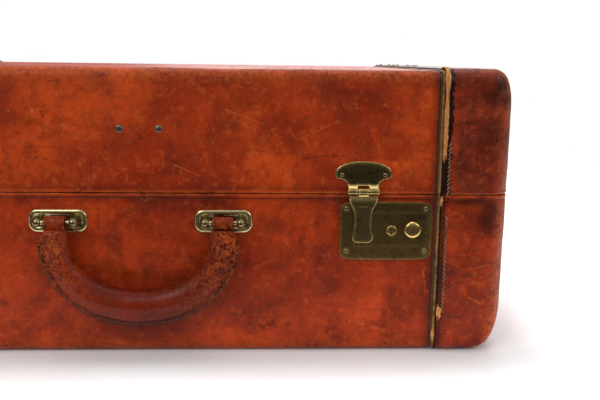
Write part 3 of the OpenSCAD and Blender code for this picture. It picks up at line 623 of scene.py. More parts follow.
def ripple(points, *layers):
    """A smooth noise made of (size, height) layers at each point."""
    flat = points.reshape(-1, 3)
    total = np.zeros(len(flat))
    for size, tall in layers:
        total += tall * np.array([noise.noise(Vector(p) / size) for p in flat])
    return total.reshape(points.shape[:-1])


def swirl(x, y, z):
    """Smooth noise from -1 to 1 at a place."""
    return noise.noise(Vector((x, y, z)))


def bell(values, middle, width):
    return np.exp(-((values - middle) / width) ** 2)


SLOT_OF = {part["node"]: part["material_slot"] for part in frame["record"]["subparts"]}
BODY_OF = {node: piece["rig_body"] for node, piece in frame["nodes"].items()}
METAL_SLOTS = ("brass_antique", "brass_bright", "iron_dark", "steel")


# ---------------------------------------------------------------- camera, light and floor


# In metres, radians and millimetres, fitted to the edges that the photo shows.
CAMERA_PLACE = (0.0942, -0.7434, 0.2249)
CAMERA_TURN = (0.04467, 0.18509, 0.01313)
CAMERA_LENS = 44.86


def aim_camera():
    """The camera stands a little above and to the right of the middle, and turns slightly right."""
    eye = Vector(CAMERA_PLACE)
    yaw, pitch, roll = CAMERA_TURN
    ahead = Vector((sin(yaw) * cos(pitch), cos(yaw) * cos(pitch), -sin(pitch)))
    level = Vector((cos(yaw), -sin(yaw), 0))
    up = level.cross(ahead)
    right = level * cos(roll) + up * sin(roll)
    top = up * cos(roll) - level * sin(roll)
    camera = bpy.data.objects.new("camera", bpy.data.cameras.new("camera"))
    camera.data.lens = CAMERA_LENS
    camera.data.sensor_width = 36
    camera.data.clip_start = 0.01
    bpy.context.scene.collection.objects.link(camera)
    turn = Matrix((right, top, -ahead)).transposed().to_4x4()
    camera.matrix_world = Matrix.Translation(eye) @ turn
    bpy.context.scene.camera = camera


def soft_box(name, place, target, size, watts):
    lamp = bpy.data.lights.new(name, "AREA")
    lamp.shape = "RECTANGLE"
    lamp.size, lamp.size_y = size
    lamp.energy = watts
    box = bpy.data.objects.new(name, lamp)
    box.location = place
    box.rotation_euler = (Vector(target) - Vector(place)).to_track_quat("-Z", "Y").to_euler()
    bpy.context.scene.collection.objects.link(box)


def light_room():
    """White to the eye, brighter above and behind than in front, as in a photo studio."""
    world = bpy.data.worlds.new("studio")
    bpy.context.scene.world = world
    world.use_nodes = True
    tree = world.node_tree
    sky = tree.nodes["Background"]
    where = tree.nodes.new("ShaderNodeTexCoord")
    axes = tree.nodes.new("ShaderNodeSeparateXYZ")
    tree.links.new(where.outputs["Generated"], axes.inputs[0])
    rise = tree.nodes.new("ShaderNodeMapRange")
    for index, value in enumerate((-0.1, 0.8, 0.05, 0.5)):
        rise.inputs[index + 1].default_value = value
    tree.links.new(axes.outputs["Z"], rise.inputs[0])
    behind = tree.nodes.new("ShaderNodeMapRange")
    for index, value in enumerate((0.0, 0.9, 0.0, 0.35)):
        behind.inputs[index + 1].default_value = value
    tree.links.new(axes.outputs["Y"], behind.inputs[0])
    total = tree.nodes.new("ShaderNodeMath")
    tree.links.new(rise.outputs[0], total.inputs[0])
    tree.links.new(behind.outputs[0], total.inputs[1])
    seen = tree.nodes.new("ShaderNodeLightPath")
    pick = tree.nodes.new("ShaderNodeMix")
    tree.links.new(seen.outputs["Is Camera Ray"], pick.inputs["Factor"])
    tree.links.new(total.outputs[0], pick.inputs[2])
    pick.inputs[3].default_value = 1.0
    tree.links.new(pick.outputs[0], sky.inputs["Strength"])
    sky.inputs["Color"].default_value = (1, 1, 1, 1)
    bpy.context.scene.view_settings.view_transform = "Standard"
    soft_box("key_light", (-0.75, -1.25, 1.15), (0, -0.1, 0.1), (0.9, 0.7), 9)
    soft_box("side_light", (1.15, -0.95, 0.85), (0.15, -0.1, 0.12), (0.5, 0.8), 4.5)
    soft_box("top_light", (0.1, 0.2, 1.7), (0, 0, 0), (1.6, 1.2), 12)
    soft_box("back_light", (0.3, 1.6, 0.9), (0, 0, 0.1), (1.2, 0.8), 9)


# The floor glows outside this half width and half depth.
FLOOR_SHADE = (280.0, 190.0)


def lay_floor():
    """White paper that glows away from the case, so that it keeps only the case's own shade."""
    look = Look("floor_paint")
    grain = look.noise(140, 3.0, 0.5)
    tone = look.mix(grain, (0.86, 0.86, 0.86), (0.92, 0.92, 0.92))
    beyond_x = look.sum("MAXIMUM", look.sum("SUBTRACT", look.mirrored_x(), FLOOR_SHADE[0]), 0.0)
    away_y = look.sum("ABSOLUTE", look.axis("y"))
    beyond_y = look.sum("MAXIMUM", look.sum("SUBTRACT", away_y, FLOOR_SHADE[1]), 0.0)
    squared = look.sum("ADD", look.times(beyond_x, beyond_x), look.times(beyond_y, beyond_y))
    far_off = look.sum("SQRT", squared)
    glow = look.step(far_off, 2, 125, 0.04, 0.9)
    mesh = bpy.data.meshes.new("floor")
    near, far, side = -0.32, 0.8, 0.95
    mesh.from_pydata([(-side, near, 0), (side, near, 0), (side, far, 0), (-side, far, 0)], [], [(0, 1, 2, 3)])
    mesh.materials.append(look.finish(tone, 0.6, Specular_IOR_Level=0.2, Emission_Strength=glow,
                                      Emission_Color=(1.0, 1.0, 1.0)))
    floor = bpy.data.objects.new("floor", mesh)
    bpy.context.scene.collection.objects.link(floor)


aim_camera()
light_room()
lay_floor()


# ---------------------------------------------------------------- the case's leather


PART_GAP = (high("body_leather").z, low("lid_leather").z)
HALF_DEPTH = high("body_leather").y
PANEL_END = high("body_leather").x
LEATHER = 1.9
# Behind each lock the leather is set back: the recess's middle and half size in x and z, and its depth.
RECESS_X, RECESS_Z, RECESS_DEPTH = (196.5, 20.5), (98.9, 12.9), 5.3
HALVES = {
    "body": {"open": high("body_leather").z, "deep": high("body_leather").z, "down": -1, "radius": 10.0,
             "body": "case_body", "swell": 0.5, "look": "leather_body_shaded", "crease": 0.34},
    "lid": {"open": low("lid_leather").z, "deep": high("lid_leather").z - low("lid_leather").z, "down": 1,
            "radius": 6.5, "body": "lid", "swell": 0.8, "look": "leather_main", "crease": 0.06},
}


def main_panel(half):
    """The leather that wraps the front, the flat face and the back between the end caps."""
    facts = HALVES[half]
    shape = (HALF_DEPTH, facts["deep"], facts["radius"])
    total = u_length(*shape)
    lengths = stations(total, 3.4)
    across = [x - PANEL_END for x in stations(2 * PANEL_END, 3.4)]
    section = [u_point(*shape, s) for s in lengths]
    grid = np.array([[(x, y, facts["open"] + facts["down"] * w) for y, w in section] for x in across])
    s, x = np.array(lengths)[None, :], np.array(across)[:, None]
    opening = np.minimum(s, total - s) + 0 * x
    seam = PANEL_END - np.abs(x) + 0 * s
    front = np.clip(opening / facts["deep"], 0, 1)
    relief = facts["swell"] * np.sin(pi * front) * (1 - (x / PANEL_END) ** 4)
    relief = relief * (opening < facts["deep"])
    relief = relief + ripple(grid, (70, 0.35), (22, 0.14), (7, 0.04)) * np.clip(seam / 12, 0.1, 1)
    relief = relief + 0.16 * bell(opening, 1.5, 0.9) - facts["crease"] * bell(opening, CREASE, 0.5)
    relief = relief - 0.5 * bell(seam, 0, 2.2)
    flat_face = opening > facts["deep"] - facts["radius"] * 0.4
    relief = np.where(flat_face, np.minimum(relief, 0) - 0.1 * flat_face, relief)
    if half == "body":
        beside, above = abs(np.abs(x) - RECESS_X[0]), abs(grid[..., 2] - RECESS_Z[0])
        behind_lock = (beside < RECESS_X[1]) & (above < RECESS_Z[1]) & (grid[..., 1] < 0)
        relief = np.where(behind_lock, -RECESS_DEPTH, relief)
    piece = shell(half + "_leather_wrap", grid, np.minimum(opening, seam), LEATHER, relief, facts["look"],
                  facts["body"], [half + "_leather"])
    paint_span(piece, doubled(np.stack([s + 0 * x, seam, opening], axis=2)))
    corner = bell(opening, facts["deep"] - facts["radius"] * 0.4, 6)
    paint(piece, "wear", doubled(np.clip(0.7 * corner + 0.5 * bell(opening, 0.8, 1.0), 0, 1)))
    # Painted shade mixed with grime: darker along the seam, around the pressed line below the opening and
    # where the panel turns onto the flat face.
    grime_and_shade = bell(seam, 0, 5) + 0.5 * bell(opening, 4, 2) + 0.35 * bell(opening, facts["deep"], 9)
    paint(piece, "shade", doubled(np.clip(grime_and_shade, 0, 1) * 0.55))


CAPS = {
    "body": {"open": PART_GAP[0], "deep": PART_GAP[0] - low("body_end_cap_right").z, "end": 26.0, "edge": 11.7,
             "look": "leather_cap_body"},
    "lid": {"open": PART_GAP[1], "deep": high("lid_end_cap_right").z - PART_GAP[1], "end": 19.0, "edge": 8.8,
            "look": "leather_cap_lid", "top": high("lid_end_cap_right").z + 0.2},
}
CAP_START = low("body_end_cap_right").x
CAP_END = high("body_end_cap_right").x
CAP_HALF = high("body_end_cap_right").y
PLAN_RADIUS = 18.0


def cap_rings(half):
    """(x, half depth, depth, corner radius, inset) for each ring from the seam to the middle of the end."""
    cap = CAPS[half]
    turn_start = CAP_END - cap["end"]
    xs = [CAP_START + d for d in stations(turn_start - CAP_START, 3.0, True, False)]
    turns = 16
    xs += [turn_start + cap["end"] * sin(pi / 2 * k / turns) for k in range(1, turns + 1)]
    rings = []
    for x in xs:
        rise = cap["end"] - sqrt(max(cap["end"] ** 2 - max(x - turn_start, 0) ** 2, 0))
        plan = max(x - (CAP_END - PLAN_RADIUS), 0)
        tuck = PLAN_RADIUS - sqrt(max(PLAN_RADIUS ** 2 - plan ** 2, 0))
        corner = cap["edge"] + (cap["end"] - cap["edge"]) * (rise / cap["end"])
        rings.append((x, CAP_HALF - tuck, cap["deep"] - rise, corner, 0.0))
    deep = cap["deep"] - cap["end"]
    half_end = CAP_HALF - PLAN_RADIUS
    for inset in stations(deep, 5.0, False, True)[1:]:
        left = 1 - inset / deep
        rings.append((CAP_END, half_end - inset, deep * left + 1e-4, cap["end"] * left + 1e-5, inset))
    return rings


def end_cap(half, side):
    """A moulded leather cap over one end, with its seam edge, stitch channel and worn corners."""
    cap, facts = CAPS[half], HALVES[half]
    rings = cap_rings(half)
    longest = u_length(*rings[0][1:4])
    shares = [s / longest for s in stations(longest, 3.2)]
    grid, spans = [], []
    for x, half_y, deep, corner, inset in rings:
        total = u_length(half_y, deep, corner)
        row = [u_point(half_y, deep, corner, share * total) for share in shares]
        grid.append([(side * x, y, cap["open"] + facts["down"] * w) for y, w in row])
        spans.append([(share * longest, x - CAP_START + inset, w) for share, (y, w) in zip(shares, row)])
    grid, spans = np.array(grid), np.array(spans)
    seam, opening = spans[..., 1], spans[..., 2]
    flip = np.array([side, 1, facts["down"]])
    normal = grid_normals(grid)
    if (normal[: len(rings) // 3] * (grid - grid.mean(axis=(0, 1)))[: len(rings) // 3]).sum() < 0:
        normal = -normal
    x_out = side * grid[..., 0]
    relief = ripple(grid * flip + 31 * side, (46, 0.5), (15, 0.28), (5, 0.07)) * np.clip(seam / 10, 0.15, 1)
    relief = relief + 0.18 * bell(opening, 1.5, 0.9) - facts["crease"] * bell(opening, CREASE, 0.5)
    relief = relief - 0.5 * bell(seam, HOLE_LINE, 0.9) + 0.15 * bell(seam, HOLE_LINE + 2.2, 1.2)
    if half == "lid":
        relief = relief + ripple(grid * flip + 5, (2.6, 0.55), (1.1, 0.25)) * bell(seam, 3.2, 3.2)
    low_side = (np.abs(normal[..., 2]) > 0.7) | (x_out > CAP_END - 0.5)
    relief = np.where(low_side, np.minimum(relief, 0) - 0.12, np.minimum(relief, 0.9))
    edge = np.minimum(opening, seam)
    name = f"{half}_cap_{hand(side)}"
    piece = shell(name, grid, edge, 1.7, relief, cap["look"], facts["body"],
                  [f"{half}_end_cap_{hand(side)}"], normal)
    paint_span(piece, doubled(spans))
    corner = bell(x_out, CAP_END - 5, 9) * bell(opening, cap["deep"] - cap["end"] * 0.45, 20)
    upright = bell(np.abs(grid[..., 1]), CAP_HALF - 5, 5) * bell(x_out, CAP_END - 5, 8)
    paint(piece, "wear", doubled(np.clip(corner + 0.8 * upright + 0.6 * bell(opening, 0.6, 0.9), 0, 1)))
    # Painted shade mixed with grime: darker towards the end where the cap turns away, near the opening beside
    # the seam and where it turns onto the flat face, broken up by blotches and, on the lid, by wrinkle marks
    # near the seam.
    grime_and_shade = 0.8 * bell(x_out, CAP_END - 12, 14) + 0.7 * bell(opening, 5, 3) * bell(seam, 20, 18)
    grime_and_shade = grime_and_shade + 0.4 * bell(opening, cap["deep"], 10)
    blotch = np.clip(ripple(grid * flip + 77, (26, 1.3), (9, 0.5)) + 0.1, 0, 1)
    ridge = ripple(grid * flip + 17, (3.4, 1.0), (1.4, 0.5)) * bell(seam, 4.5, 3.5) * (half == "lid")
    paint(piece, "shade", doubled(np.clip(grime_and_shade * blotch * 1.3 + 0.25 * ridge, 0, 0.85)))


def end_face(half, w):
    """x of the cap's end face at a depth from the opening."""
    cap = CAPS[half]
    past = max(0.0, w - (cap["deep"] - cap["end"]))
    return CAP_END - cap["end"] + sqrt(cap["end"] ** 2 - past ** 2)


def end_panel(half, side):
    """The stiff leather panel sewn over the end, with ragged lower corners on the lid."""
    node = half + "_end_panels"
    lo, hi = low(node), high(node)
    facts = HALVES[half]
    width = 2 * hi.y
    tall = hi.z - lo.z
    corner = 16.0
    rows = stations(width, 4.0)
    columns = stations(tall, 4.0)
    thick = 2.4 if half == "lid" else 1.5
    grid = []
    for a in rows:
        row = []
        for b in columns:
            y, z = a - width / 2, lo.z + b
            pull_y = max(abs(y) - (width / 2 - corner), 0)
            pull_z = max(abs(z - (lo.z + hi.z) / 2) - (tall / 2 - corner), 0)
            reach = max(pull_y, pull_z)
            if pull_y > 0 and pull_z > 0:
                shrink = reach / hypot(pull_y, pull_z)
                y -= copysign(pull_y * (1 - shrink), y)
                z -= copysign(pull_z * (1 - shrink), z - (lo.z + hi.z) / 2)
            ragged = 0.0
            if half == "lid" and z < lo.z + 30:
                ragged = 2.2 * max(0.0, swirl(y / 5, z / 4, side)) * bell(z, lo.z, 16)
            w = (z - facts["open"]) * facts["down"]
            y -= copysign(ragged * (pull_y > corner - 3), y)
            row.append((side * (end_face(half, w) + thick), y, z))
        grid.append(row)
    grid, edge = np.array(grid), rim_distance(rows, columns)
    slope = np.gradient(grid, axis=1)
    normal = np.stack([slope[..., 2], 0 * slope[..., 0], -slope[..., 0]], axis=2)
    normal /= np.linalg.norm(normal, axis=2, keepdims=True)
    normal = np.where((normal[..., :1] * side) < 0, -normal, normal)
    relief = -0.25 - 0.35 * bell(edge, 4.2, 0.8) + ripple(grid, (40, 0.2), (12, 0.1))
    relief = np.minimum(relief, -0.02)
    name = f"{half}_end_panel_{hand(side)}"
    replaced = [node] if side > 0 else []
    piece = shell(name, grid, edge, thick - 0.02, relief, "leather_main", facts["body"],
                  replaced, normal)
    paint_span(piece, doubled(np.stack([edge, edge + 40, edge + 40], axis=2)))
    paint(piece, "wear", doubled(np.clip(bell(edge, 0.5, 1.2) * 1.2, 0, 1)))
    paint(piece, "shade", doubled(0.6 * bell(edge, 4.2, 1.6)))
    inset = 4.2
    loop = []
    for turn in range(0, 361, 3):
        angle = radians(turn)
        power = 0.36
        y = copysign(abs(cos(angle)) ** power, cos(angle)) * (width / 2 - inset)
        z = copysign(abs(sin(angle)) ** power, sin(angle)) * (tall / 2 - inset)
        z += (lo.z + hi.z) / 2
        w = (z - facts["open"]) * facts["down"]
        loop.append(Vector((side * (end_face(half, w) + thick - 0.35), y, z)))
    outward = [Vector((side, 0, 0))] * len(loop)
    stitch_row(name + "_stitches", loop, outward, 4.4, 3.2, 0.34, "thread", facts["body"])


def resampled(points, normals, pitch):
    """(place, direction, normal) at even steps along a line of points."""
    found, due = [], pitch / 2
    gone = 0.0
    for a, b, n in zip(points, points[1:], normals):
        gap = (b - a).length
        while gap > 1e-9 and due <= gone + gap:
            found.append((a.lerp(b, (due - gone) / gap), (b - a).normalized(), n))
            due += pitch
        gone += gap
    return found


def stitch_row(name, points, normals, pitch, length, radius, look, body, slant=0.0,
               keep=lambda place: True):
    """A row of separate stitches, each a short arched tube that dips into the leather at its ends."""
    sides, rings = 7, 7
    verts, faces = [], []
    for place, ahead, normal in resampled(points, normals, pitch):
        if not keep(place):
            continue
        beside = normal.cross(ahead).normalized()
        run = (ahead * cos(slant) + beside * sin(slant)).normalized()
        wide = normal.cross(run).normalized()
        jitter = random.uniform(-0.12, 0.12)
        base = len(verts)
        for k in range(rings):
            u = k / (rings - 1)
            rise = radius * 1.5 * sin(pi * u) - radius * 0.9
            middle = place + run * (length * (u - 0.5) + jitter) + normal * rise
            fat = radius * (0.55 + 0.45 * sin(pi * u))
            for side in range(sides):
                angle = 2 * pi * side / sides
                verts.append(middle + wide * fat * cos(angle) + normal * fat * sin(angle))
        faces += tube_faces(rings, sides, base)
    if verts:
        return new_piece(name, verts, faces, look, body)
    return None


def u_line(x, half_y, deep, radius, opening, down, pitch, lift=0.0):
    """Points and outward normals along a U section at one x."""
    total = u_length(half_y, deep, radius)
    count = int(total / pitch)
    points, normals = [], []
    for k in range(count + 1):
        s = total * k / count
        y, w = u_point(half_y, deep, radius, s)
        y2, w2 = u_point(half_y, deep, radius, min(s + 0.05, total))
        y1, w1 = u_point(half_y, deep, radius, max(s - 0.05, 0))
        run = Vector((0, y2 - y1, w2 - w1)).normalized()
        out = Vector((0, -run.z, run.y))
        if out.y * y + out.z * (w - deep / 2) < 0:
            out = -out
        out.z *= down
        points.append(Vector((x, y, opening + down * w)) + out * lift)
        normals.append(out)
    return points, normals


WELT_MIDDLE = 224.7
WELT_PITCH = 1.3


def welt(half, side):
    """A piped strip of leather in the seam between the main panel and an end cap."""
    facts = HALVES[half]
    node = half + "_welts"
    half_y = high(node).y
    middle = WELT_MIDDLE * side
    wide = 1.45
    deep = facts["deep"] + (0.7 if half == "lid" else -0.3)
    points, normals = u_line(middle, half_y, deep, facts["radius"] + 0.8, facts["open"], facts["down"],
                             WELT_PITCH)
    sides = 14
    verts, spans = [], []
    for k, (place, out) in enumerate(zip(points, normals)):
        end = min(k, len(points) - 1 - k) * WELT_PITCH
        fray = 1.0 + 0.16 * swirl(k * 0.31, side, 2.0) - 0.25 * bell(end, 0, 1.2)
        sway = 0.28 * swirl(k * 0.11, side * 3, 5.0)
        pinch = 1 - 0.07 * (0.5 + 0.5 * cos(2 * pi * k * WELT_PITCH / HOLE_PITCH))
        for step in range(sides):
            angle = 2 * pi * step / sides
            sideways = Vector((wide * fray * cos(angle) + sway * 0.6, 0, 0))
            tall = 1.5 * pinch * sin(angle) - 1.55
            ragged = 0.10 * swirl(k * 0.9, step * 1.1, side)
            verts.append(place + sideways + out * (tall + ragged))
            spans.append((k * WELT_PITCH, abs(cos(angle)) * wide, end + 6))
    name = f"{half}_welt_{hand(side)}"
    piece = new_piece(name, verts, tube_faces(len(points), sides), "leather_welt", facts["body"],
                      [node] if side > 0 else [])
    paint_span(piece, spans)
    tops = [0.9 if sin(2 * pi * (i % sides) / sides) > 0.75 else 0.0 for i in range(len(verts))]
    paint(piece, "wear", tops)
    paint(piece, "shade", [0.0 if t else 0.5 for t in tops])


def seam_stitches(half, side):
    """Slanted stitches that hold the cap's edge; the lid's right-hand ones have mostly gone."""
    facts, cap = HALVES[half], CAPS[half]
    x = side * (CAP_START + HOLE_LINE)
    points, normals = u_line(x, CAP_HALF, cap["deep"], cap["edge"], cap["open"], facts["down"], 1.0, -0.1)

    def keep(place):
        if place.z < 1.5 or place.z > CAPS["lid"]["top"]:
            return False
        if half == "lid" and side > 0:
            return place.z < 150 and noise.noise(place / 11) > -0.15 or noise.noise(place / 17) > 0.4
        if half == "body" and side > 0 and place.y < -180:
            return 34 < place.z < 109 or noise.noise(place / 9) > 0.3
        return noise.noise(place / 23) > -0.42

    name = f"{half}_seam_stitches_{hand(side)}"
    stitch_row(name, points, normals, HOLE_PITCH, 4.5, 0.66, "thread", facts["body"],
               slant=radians(30) * side * facts["down"] * -1, keep=keep)


def torn_patch(name, half, x_from, x_to, s_from, s_to, stand, seed):
    """A ragged flap of raw leather over the seam, between two lengths along the U section of the case."""
    facts, cap = HALVES[half], CAPS[half]
    width, length = x_to - x_from, s_to - s_from
    columns = [width * (0.5 - 0.5 * cos(pi * k / 10)) for k in range(11)]
    rows = [length * k / round(length / 0.7) for k in range(round(length / 0.7) + 1)]
    grid, normal = [], []
    section = (CAP_HALF, cap["deep"], cap["edge"])
    for b in rows:
        y, w = u_point(*section, s_from + b)
        y1, w1 = u_point(*section, s_from + b - 0.3)
        y2, w2 = u_point(*section, s_from + b + 0.3)
        run = Vector((0, y2 - y1, (w2 - w1) * facts["down"])).normalized()
        out = Vector((0, -run.z, run.y)) * facts["down"]
        row = []
        thin = 0.75 + 0.5 * swirl(b / 14, 1, seed)
        for a in columns:
            share = (a / width - 0.5) * 2
            fray = 0.5 * swirl(b / 2.6, copysign(3, share), seed)
            fray += 0.4 * swirl(b / 0.9, copysign(5, share), seed)
            pinch = thin * (1 - 0.7 * bell(min(b, length - b), 0, 4.0))
            x = (x_from + x_to) / 2 + share * (width / 2 * pinch) + fray * (0.55 + 0.45 * share)
            wave = swirl(a / 2.1, b / 3.1, seed)
            lift = stand - 0.7 * bell(min(b, length - b), 0, 7) + 0.35 * wave + 0.2 * share * share
            row.append(Vector((x, y, cap["open"] + facts["down"] * w)) + out * lift)
        grid.append(row)
        normal.append([out] * len(columns))
    grid, edge = np.array(grid), rim_distance(rows, columns)
    relief = ripple(grid, (1.6, 0.22), (0.7, 0.1))
    shell(name, grid, edge, 1.1, relief, "raw", facts["body"], (), np.array(normal))


torn_patch("lid_torn_strip", "lid", 224.9, 229.0, 24, 116, 0.45, 3.0)
torn_patch("body_torn_top", "body", 223.4, 229.4, 0.8, 8.6, 0.3, 11.0)
torn_patch("body_torn_low", "body", 225.6, 230.2, 84, 101, 0.45, 23.0)
torn_patch("body_torn_foot", "body", 221.9, 226.4, 106, 117, -0.5, 37.0)
for half in ("body", "lid"):
    main_panel(half)
    for side in (-1, 1):
        end_cap(half, side)
        end_panel(half, side)
        welt(half, side)
        seam_stitches(half, side)


# ---------------------------------------------------------------- metal parts


def split_long(bm, longest):
    """Splits triangles until no edge is longer than a length in millimetres."""
    for _ in range(7):
        long_edges = [e for e in bm.edges if e.calc_length() > longest * MM]
        if not long_edges:
            return
        bmesh.ops.subdivide_edges(bm, edges=long_edges, cuts=1)
        bmesh.ops.triangulate(bm, faces=[f for f in bm.faces if len(f.verts) > 3])


def metal_piece(name, bm, flag, look, body, replaces, longest=2.4, shape=None, fade=0.9,
                painted_highlight=None):
    """Finishes metal: fine triangles, an edge mask round the flagged faces and a soft shape."""
    edges = [tuple(v.co for v in f.verts) for f in bm.faces if f[flag]]
    tree = None
    if edges:
        corners, polygons = [], []
        for points in edges:
            polygons.append(list(range(len(corners), len(corners) + len(points))))
            corners += [p.copy() for p in points]
        tree = BVHTree.FromPolygons(corners, polygons)
    bmesh.ops.triangulate(bm, faces=bm.faces, ngon_method="BEAUTY")
    split_long(bm, longest)
    edge_layer = bm.verts.layers.float.new("edge")
    for vert in bm.verts:
        gap = tree.find_nearest(vert.co)[3] / MM if tree else 9.0
        # A painted highlight, where given, is added to the edge mask, so the patina comes off there as on worn
        # edges.
        vert[edge_layer] = exp(-(gap / fade) ** 2) + (painted_highlight(vert.co / MM) if painted_highlight else 0.0)
    if shape:
        for vert in bm.verts:
            vert.co = Vector(shape(vert.co / MM)) * MM
    for face in bm.faces:
        face.smooth = True
    mesh = bpy.data.meshes.new(name)
    bm.to_mesh(mesh)
    bm.free()
    mesh.materials.append(LOOKS[look])
    piece = bpy.data.objects.new(name, mesh)
    bpy.context.scene.collection.objects.link(piece)
    weighted = piece.modifiers.new("even_normals", "WEIGHTED_NORMAL")
    weighted.keep_sharp = True
    return placed(piece, body, replaces)


def refined(node, bevel=0.3, look=None, longest=2.4, shape=None):
    """A CAD node's shape with bevelled edges and worn rims, in place of the node."""
    bm = bmesh.new()
    bm.from_mesh(frame["nodes"][node].data)
    bmesh.ops.remove_doubles(bm, verts=bm.verts, dist=1e-6)
    bmesh.ops.dissolve_limit(bm, angle_limit=radians(0.5), verts=bm.verts, edges=bm.edges)
    sharp = [e for e in bm.edges if len(e.link_faces) == 2 and e.calc_face_angle() > radians(32)]
    flag = bm.faces.layers.int.new("bevelled")
    if sharp and bevel:
        made = bmesh.ops.bevel(bm, geom=sharp, offset=bevel * MM, offset_type="OFFSET", segments=3,
                               profile=0.5, affect="EDGES", clamp_overlap=True)
        for face in made["faces"]:
            face[flag] = 1
    return metal_piece(node + "_finished", bm, flag, look or SLOT_OF[node], BODY_OF[node],
                       [node], longest, shape)


def inset_outline(outline, inset):
    """A closed (x, z) outline moved inward along its own normals."""
    points = [Vector(p) for p in outline]
    moved = []
    area = sum(a.x * b.y - b.x * a.y for a, b in zip(points, points[1:] + points[:1]))
    for k, point in enumerate(points):
        run = (points[(k + 1) % len(points)] - points[k - 1]).normalized()
        inward = Vector((-run.y, run.x)) * copysign(1, area)
        moved.append(point + inward * inset)
    return moved


def lofted(name, outline, levels, look, body, replaces=(), shape=None, extra=None, longest=2.0,
           fade=0.9, painted_highlight=None):
    """A plate from an (x, z) outline and (inset, y, worn) levels from its back to its middle."""
    bm = bmesh.new()
    flag = bm.faces.layers.int.new("bevelled")
    rings = []
    for inset, y, _worn in levels:
        rings.append([bm.verts.new(Vector((p.x, y, p.y)) * MM) for p in inset_outline(outline, inset)])
    count = len(outline)
    for (_a, _b, worn), low_ring, high_ring in zip(levels[1:], rings, rings[1:]):
        for k in range(count):
            other = (k + 1) % count
            face = bm.faces.new((low_ring[k], low_ring[other], high_ring[other], high_ring[k]))
            face[flag] = worn
    bm.faces.new(rings[0][::-1])
    bm.faces.new(rings[-1])
    if extra:
        extra(bm, flag)
    bmesh.ops.recalc_face_normals(bm, faces=bm.faces)
    return metal_piece(name, bm, flag, look, body, replaces, longest, shape, fade, painted_highlight)


def tube(bm, flag, start, end, outer, inner, sides=28, bevel=0.3):
    """A hollow rolled knuckle along X with rounded ends."""
    middle_y, middle_z = start[1], start[2]
    profile = [(start[0] + bevel, inner), (start[0], inner + bevel), (start[0], outer - bevel),
               (start[0] + bevel, outer), (end - bevel, outer), (end, outer - bevel), (end, inner + bevel),
               (end - bevel, inner)]
    rings = []
    for step in range(sides):
        angle = 2 * pi * step / sides
        y, z = cos(angle), sin(angle)
        rings.append([bm.verts.new(Vector((x, middle_y + r * y, middle_z + r * z)) * MM) for x, r in profile])
    for step in range(sides):
        near, far = rings[step], rings[(step + 1) % sides]
        for k in range(len(profile)):
            other = (k + 1) % len(profile)
            face = bm.faces.new((near[k], near[other], far[other], far[k]))
            face[flag] = int(k in (0, 2, 4, 6))


def turned(name, profile, place, look, body, replaces=(), sides=48, edge=None):
    """A solid turned round an axis along -Y from (radius, height) points, the first and last on the axis."""
    verts, faces, worn = [], [], []
    for k, (radius, tall) in enumerate(profile):
        for step in range(sides if 0 < k < len(profile) - 1 else 1):
            angle = 2 * pi * step / sides
            x, z = radius * cos(angle), radius * sin(angle)
            verts.append((place[0] + x, place[1] - tall, place[2] + z))
            worn.append(edge(radius, tall) if edge else 0.0)
    for step in range(sides):
        other = (step + 1) % sides
        faces.append((0, 1 + step, 1 + other))
        last = len(verts) - 1
        faces.append((last, last - sides + other, last - sides + step))
    faces += ring_faces(len(profile) - 2, sides, 1)
    piece = new_piece(name, verts, faces, look, body, replaces)
    paint(piece, "edge", worn)
    return piece


def smooth_step(value, start, end):
    share = min(1.0, max(0.0, (value - start) / (end - start)))
    return share * share * (3 - 2 * share)


HASP_X = (low("hasp_left").x + high("hasp_left").x) / 2
HASP_PIN = (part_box("hasp_pin_right")[0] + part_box("hasp_pin_right")[1]) / 2 / MM
HASP_FOOT = low("hasp_right").z
HASP_BACK, HASP_FRONT = -192.95, -194.5
TONGUE_TOP, NECK_HALF = 125.2, 3.9
KNUCKLE = 2.5
PIN_HOLE = 1.15


def hasp_width(z):
    """Half width of the hasp's tongue: wide shoulders, a waist and a broader foot."""
    return 6.4 + 4.4 * smooth_step(z, 111, 123.5) + 1.5 * smooth_step(-z, -105, -93)


